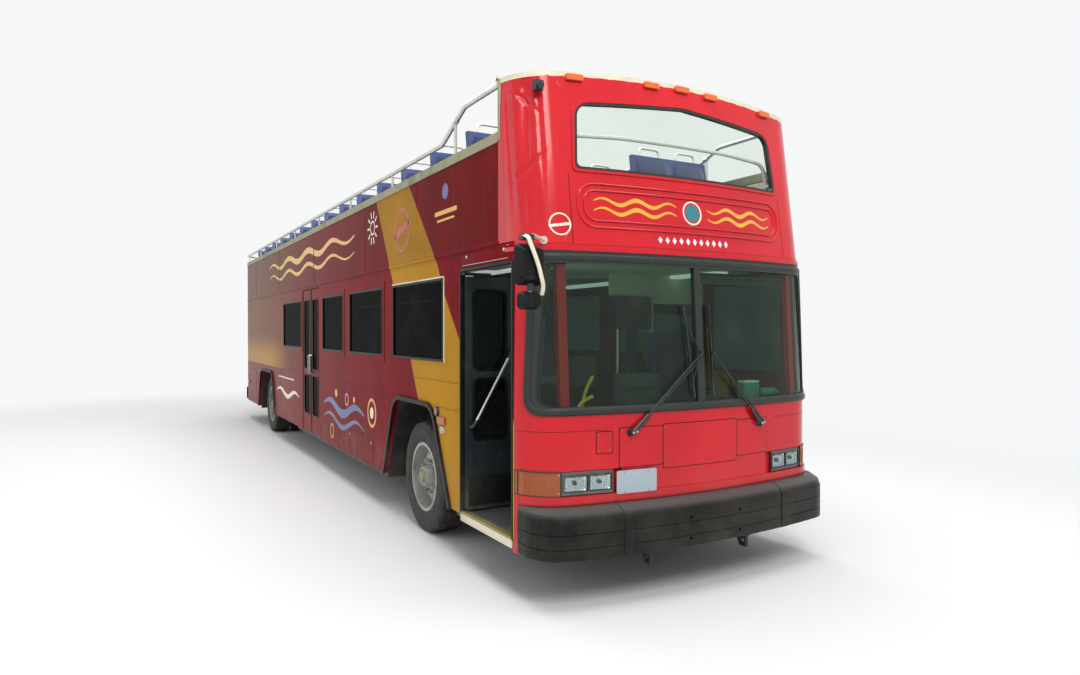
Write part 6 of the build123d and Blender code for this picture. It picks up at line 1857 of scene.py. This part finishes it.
def make_cab():
    """Sun blind, partition glass and panels, side console and the door gear's cover in the cab."""
    blind = Shape()
    blind.tube([(5.86, 0.10, 2.165), (5.86, 1.02, 2.165)], 0.022, 14)
    blind.block((5.855, 0.12, 2.105), (5.862, 1.0, 2.16), 0.002)
    blind.piece("sun_blind", DARK_PLASTIC)
    boxes("partition_pane", CLEAR_GLASS, ((4.744, 0.425, 1.305), (4.750, 1.105, 1.895), 0.002))
    boxes("partition_panels", LINER_CREAM, ((4.742, 0.13, 2.062), (4.756, 0.60, 2.257), 0.004),
          ((4.742, 0.61, 1.925), (4.756, 1.19, 2.257), 0.004),
          ((4.742, 0.565, 1.0), (4.760, 0.605, 2.257), 0.004))
    boxes("partition_cabinet", DARK_PLASTIC, ((4.66, 0.185, 1.775), (4.80, 0.555, 2.060), 0.012),
          ((4.80, 0.205, 1.795), (4.804, 0.535, 2.040), 0.001))
    boxes("side_console", BLACK_PLASTIC, ((4.80, 1.00, PLATFORM_Z + 0.002), (5.45, 1.24, 1.02), 0.02))
    boxes("door_gear_cover", GREY_PLASTIC, ((4.90, -1.245, 2.222), (5.66, -1.02, 2.262), 0.012))


def over_stair(y, x0, x1):
    """Whether a ceiling part would lie in the stair's opening."""
    return y > 0 and x1 > -0.45 and x0 < 1.40


def make_lower_trim():
    """Wall liners, ceiling panels with joints, light strips and the aisle edge strips of the lower deck."""
    liners = []
    for side in SIDES:
        y0, y1 = sorted((side * 1.215, side * 1.250))
        for x0, x1 in (((-1.10, -0.74), (0.34, 2.90)) if side < 0 else ((-1.10, 2.90),)):
            liners.append(((x0, y0, 0.42), (x1, y1, 1.46), 0.006))
        liners.append(((-4.74, y0, 1.12), (-2.70, y1, 1.46), 0.006))
        liners.append(((-2.68, y0, 0.87), (-1.16, y1, 1.46), 0.006))
    boxes("wall_liners", LINER_CREAM, *liners)
    panels = []
    strips = []
    for n in range(8):
        x1 = 5.45 - 1.38 * n
        for y0, y1 in ((-1.20, -0.52), (-0.50, 0.50), (0.52, 1.20)):
            if not over_stair(y0, x1 - 1.36, x1):
                panels.append(((x1 - 1.36, y0, 2.2560), (x1, y1, 2.2685), 0.004))
        x1 = 5.35 - 1.38 * n
        for y in (-0.86, 0.86):
            if not over_stair(y, x1 - 1.2, x1):
                strips.append(((x1 - 1.15, y - 0.07, 2.2300), (x1, y + 0.07, 2.2555), 0.012))
    boxes("ceiling_panels", CEILING_WHITE, *panels)
    boxes("light_strips", LIGHT_DIFFUSER, *strips)
    boxes("floor_step_edges", STEP_YELLOW, ((-1.158, -0.55, 0.838), (-1.118, 0.55, 0.8545), 0.003),
          ((-4.758, -0.55, 1.288), (-4.718, 0.55, 1.3045), 0.003))


def make_upper_trim():
    """Ribs of the aisle strip, the inner grab rail and the liner panels of the open deck."""
    ribs = BAR_ROW.mesh(Count=30, Pitch=(0.362, 0.0, 0.0), Size=(0.03, 0.62, 0.004))
    strewn("aisle_strips", CAP_METAL, ribs, [Matrix.Translation((-5.2, 0.0, DECK_Z + 0.002))])
    bends = ((-0.95, 2.9), (-0.93, 3.08), (-0.5, 3.10), (0.0, 3.10), (0.5, 3.10), (0.93, 3.08), (0.95, 2.9))
    points = [on_face(y, z, -0.085) for y, z in bends]
    rail = Shape()
    rail.tube(points, 0.0145, 12, bend=0.10)
    rail.piece("screen_rail", HANDLE_WHITE)
    feet = Shape()
    for end in (points[0], points[-1]):
        feet.tube([end, end + Vector((0.043, 0.0, 0.0))], 0.0145, 12)
    feet.piece("screen_rail_feet", HANDLE_WHITE)
    liners = []
    for side in SIDES:
        y0, y1 = sorted((side * 1.247, side * 1.254))
        for x1 in (5.46 - 2.22 * n for n in range(5)):
            liners.append(((x1 - 2.2, y0, DECK_Z + 0.01), (x1, y1, 3.03), 0.002))
    boxes("upper_liners", LINER_CREAM, *liners)


SEATS = seat_places()
make_seats(SEATS)
make_backs(SEATS)
make_driver_back()
make_dash()
make_cab()
make_lower_trim()
make_upper_trim()


# Fittings outside on the open deck and the mirrors

POST_X = [4.7, 3.18, 1.71, 0.21, -1.31, -2.77, -4.32, -5.7]
RAIL_Y = 1.27
RAIL_Z = 3.25
RAIL_FRONT_Z = 3.44
RAIL_RISE_X = (4.42, 4.88)
MIRRORS = [(-1, 6.11, 2.16, 0.19, 0.25), (-1, 6.11, 1.945, 0.15, 0.11), (1, 5.61, 1.64, 0.16, 0.28)]
MIRROR_Y = 1.39
STRUT_BENDS = [(6.140, -1.452, 2.333), (6.180, -1.440, 2.318), (6.186, -1.375, 2.160), (6.180, -1.335, 2.030),
               (6.158, -1.335, 1.975)]
CAMERA_BOX = [(-0.03, -0.03), (0.05, -0.028), (0.05, 0.028), (-0.03, 0.03)]


def make_rail_fittings():
    """Foot plates with screws under each post, and collars where posts meet the rail."""
    feet = Shape()
    screws = []
    for x in POST_X:
        share = max(0.0, (x - RAIL_RISE_X[0]) / (RAIL_RISE_X[1] - RAIL_RISE_X[0]))
        top = RAIL_Z + (RAIL_FRONT_Z - RAIL_Z) * share
        for side in SIDES:
            y = side * RAIL_Y
            feet.block((x - 0.042, y - 0.022, CAP_TOP_Z), (x + 0.042, y + 0.022, CAP_TOP_Z + 0.006), 0.002)
            screws.append(Matrix.Translation((x - 0.032, y + 0.013 * side, CAP_TOP_Z + 0.006)))
            feet.tube([(x - 0.028, y, top), (x + 0.028, y, top)], 0.0205, 14)
    feet.piece("rail_feet", RAIL_STEEL)
    strewn("rail_screws", BRIGHT_TRIM, DOME_ROW.mesh(Count=2, Pitch=(0.05, 0.0, 0.0), Head=0.004), screws)


def make_mirror_glass():
    """Silvered panes and their rims on the backs of the mirror heads, clamps on the arms and a strut."""
    panes, rims, clamps, strut = (Shape() for n in range(4))
    for side, x, z, width, height in MIRRORS:
        wrap = across_x(x - 0.020, -1, side * MIRROR_Y, z)
        box = (-width / 2, width / 2, -height / 2, height / 2)
        inner = around(box, -0.012, 0.024)
        rims.band(around(box, 0.0, 0.034), inner, wrap, 0.006)
        panes.plate(inner, wrap, 0.002)
    rims.piece("mirror_rims", BLACK_RUBBER)
    panes.piece("mirror_panes", MIRROR_SILVER)
    for side, x, z, width, height in MIRRORS[:2]:
        clamps.lathe([(0.0115, -0.022), (0.021, -0.022), (0.021, 0.022), (0.0115, 0.022)],
                     (x, side * MIRROR_Y, z + height / 2 + 0.026), (0, 0, 1), 18)
    clamps.block((6.098, -1.462, 2.302), (6.150, -1.378, 2.340), 0.006)
    clamps.piece("mirror_clamps", DARK_PLASTIC)
    path = [(point, (1.0, 0.0, 0.15)) for point in soften(STRUT_BENDS, 0.05)]
    strut.sweep(path, flat(0.013, -0.0035, 0.0035))
    strut.piece("mirror_strut", TRIM_CREAM)


def make_camera_bracket():
    """Small black camera on a bracket under the edging at the right front corner."""
    box = Shape()
    at = on_face(-1.13, 3.37, 0.03)
    box.loft([[at + Vector((u * 0.6, v, w)) for u, v in CAMERA_BOX] for w in (-0.035, 0.0, 0.028)])
    box.tube([at + Vector((0.02, 0.0, 0.0)), at + Vector((0.052, -0.004, -0.012))], (0.020, 0.024), 16)
    box.tube([on_face(-1.13, 3.42), at + Vector((0.0, 0.0, 0.02))], 0.008, 8)
    box.piece("corner_camera", DARK_PLASTIC)


make_rail_fittings()
make_mirror_glass()
make_camera_bracket()


# Camera, stage and lights

CAMERA_AT = Vector((10.022, -3.534, 1.767))
CAMERA_YAW = 0.515
CAMERA_PITCH = -0.01
LENS_MM = 24.78
SENSOR_MM = 36.0
SEEN_TO = 300.0
FLOOR_SPAN = 90.0
SOFT_LIGHT = ((0.93, 0.96, 1.0, 1.0), 0.62)
BACKGROUND = ((0.93, 0.935, 0.94, 1.0), 1.0)
LAMPS = [
    dict(name="overhead", at=(1.0, 0.0, 9.5), aim_at=(0.0, 0.0, 1.0), size=(16.0, 8.0), watts=1150.0),
    dict(name="front", at=(13.5, -2.4, 9.5), aim_at=(5.0, 0.0, 1.5), size=(5.0, 4.0), watts=700.0),
    dict(name="kerb_side", at=(-1.0, -10.0, 4.5), aim_at=(0.0, 0.0, 1.6), size=(12.0, 4.0), watts=150.0),
]


def aim(at, forward, up=Vector((0.0, 0.0, 1.0))):
    """Matrix of an object at a point that looks along forward."""
    side = forward.cross(up).normalized()
    over = side.cross(forward).normalized()
    turn = Matrix((side, over, -forward.normalized())).transposed().to_4x4()
    return Matrix.Translation(at) @ turn


def make_camera():
    camera = added("camera", bpy.data.cameras.new("camera"))
    camera.data.lens = LENS_MM
    camera.data.sensor_width = SENSOR_MM
    camera.data.clip_end = SEEN_TO
    level = cos(CAMERA_PITCH)
    forward = Vector((-cos(CAMERA_YAW) * level, sin(CAMERA_YAW) * level, sin(CAMERA_PITCH)))
    camera.matrix_world = aim(CAMERA_AT, forward)
    bpy.context.scene.camera = camera


def make_floor():
    """Pale floor that fades into the background far out."""
    corners = [(-FLOOR_SPAN, -FLOOR_SPAN, 0.0), (FLOOR_SPAN, -FLOOR_SPAN, 0.0), (FLOOR_SPAN, FLOOR_SPAN, 0.0),
               (-FLOOR_SPAN, FLOOR_SPAN, 0.0)]
    mesh = bpy.data.meshes.new("studio_floor")
    mesh.from_pydata(corners, [], [(0, 1, 2, 3)])
    finish = Finish("studio_floor", srgb(222, 222, 220), 0.8)
    beside = (finish.axis("X").math("ABSOLUTE") - 6.0).math("MAXIMUM", 0.0)
    ahead = (finish.axis("Y").math("ABSOLUTE") - 1.3).math("MAXIMUM", 0.0)
    far = (beside * beside + ahead * ahead).math("SQRT").ramp(0.6, 8.0)
    mesh.materials.append(finish.show(finish.blend(far, finish.solid(), finish.clear())))
    floor = added("studio_floor", mesh)


def make_world():
    """Even soft light, with a plain white background behind the object and in its reflections."""
    world = bpy.data.worlds.new("studio")
    bpy.context.scene.world = world
    world.use_nodes = True
    nodes, links = world.node_tree.nodes, world.node_tree.links
    light, seen = nodes["Background"], nodes.new("ShaderNodeBackground")
    for node, (colour, strength) in ((light, SOFT_LIGHT), (seen, BACKGROUND)):
        node.inputs["Color"].default_value = colour
        node.inputs["Strength"].default_value = strength
    rays = nodes.new("ShaderNodeLightPath").outputs
    shown = rays["Is Camera Ray"]
    for kind in ("Is Glossy Ray", "Is Transmission Ray"):
        either = nodes.new("ShaderNodeMath")
        either.operation = "MAXIMUM"
        links.new(shown, either.inputs[0])
        links.new(rays[kind], either.inputs[1])
        shown = either.outputs[0]
    mixed = nodes.new("ShaderNodeMixShader")
    for number, source in enumerate((shown, light.outputs[0], seen.outputs[0])):
        links.new(source, mixed.inputs[number])
    links.new(mixed.outputs[0], nodes["World Output"].inputs["Surface"])


def make_lamps():
    for lamp in LAMPS:
        data = bpy.data.lights.new(lamp["name"], "AREA")
        data.shape = "RECTANGLE"
        data.size, data.size_y = lamp["size"]
        data.energy = lamp["watts"]
        at = Vector(lamp["at"])
        light = added(lamp["name"], data)
        light.matrix_world = aim(at, Vector(lamp["aim_at"]) - at, Vector((0.0, 1.0, 0.01)))


make_camera()
make_floor()
make_world()
make_lamps()
bpy.context.scene.view_settings.view_transform = "Standard"
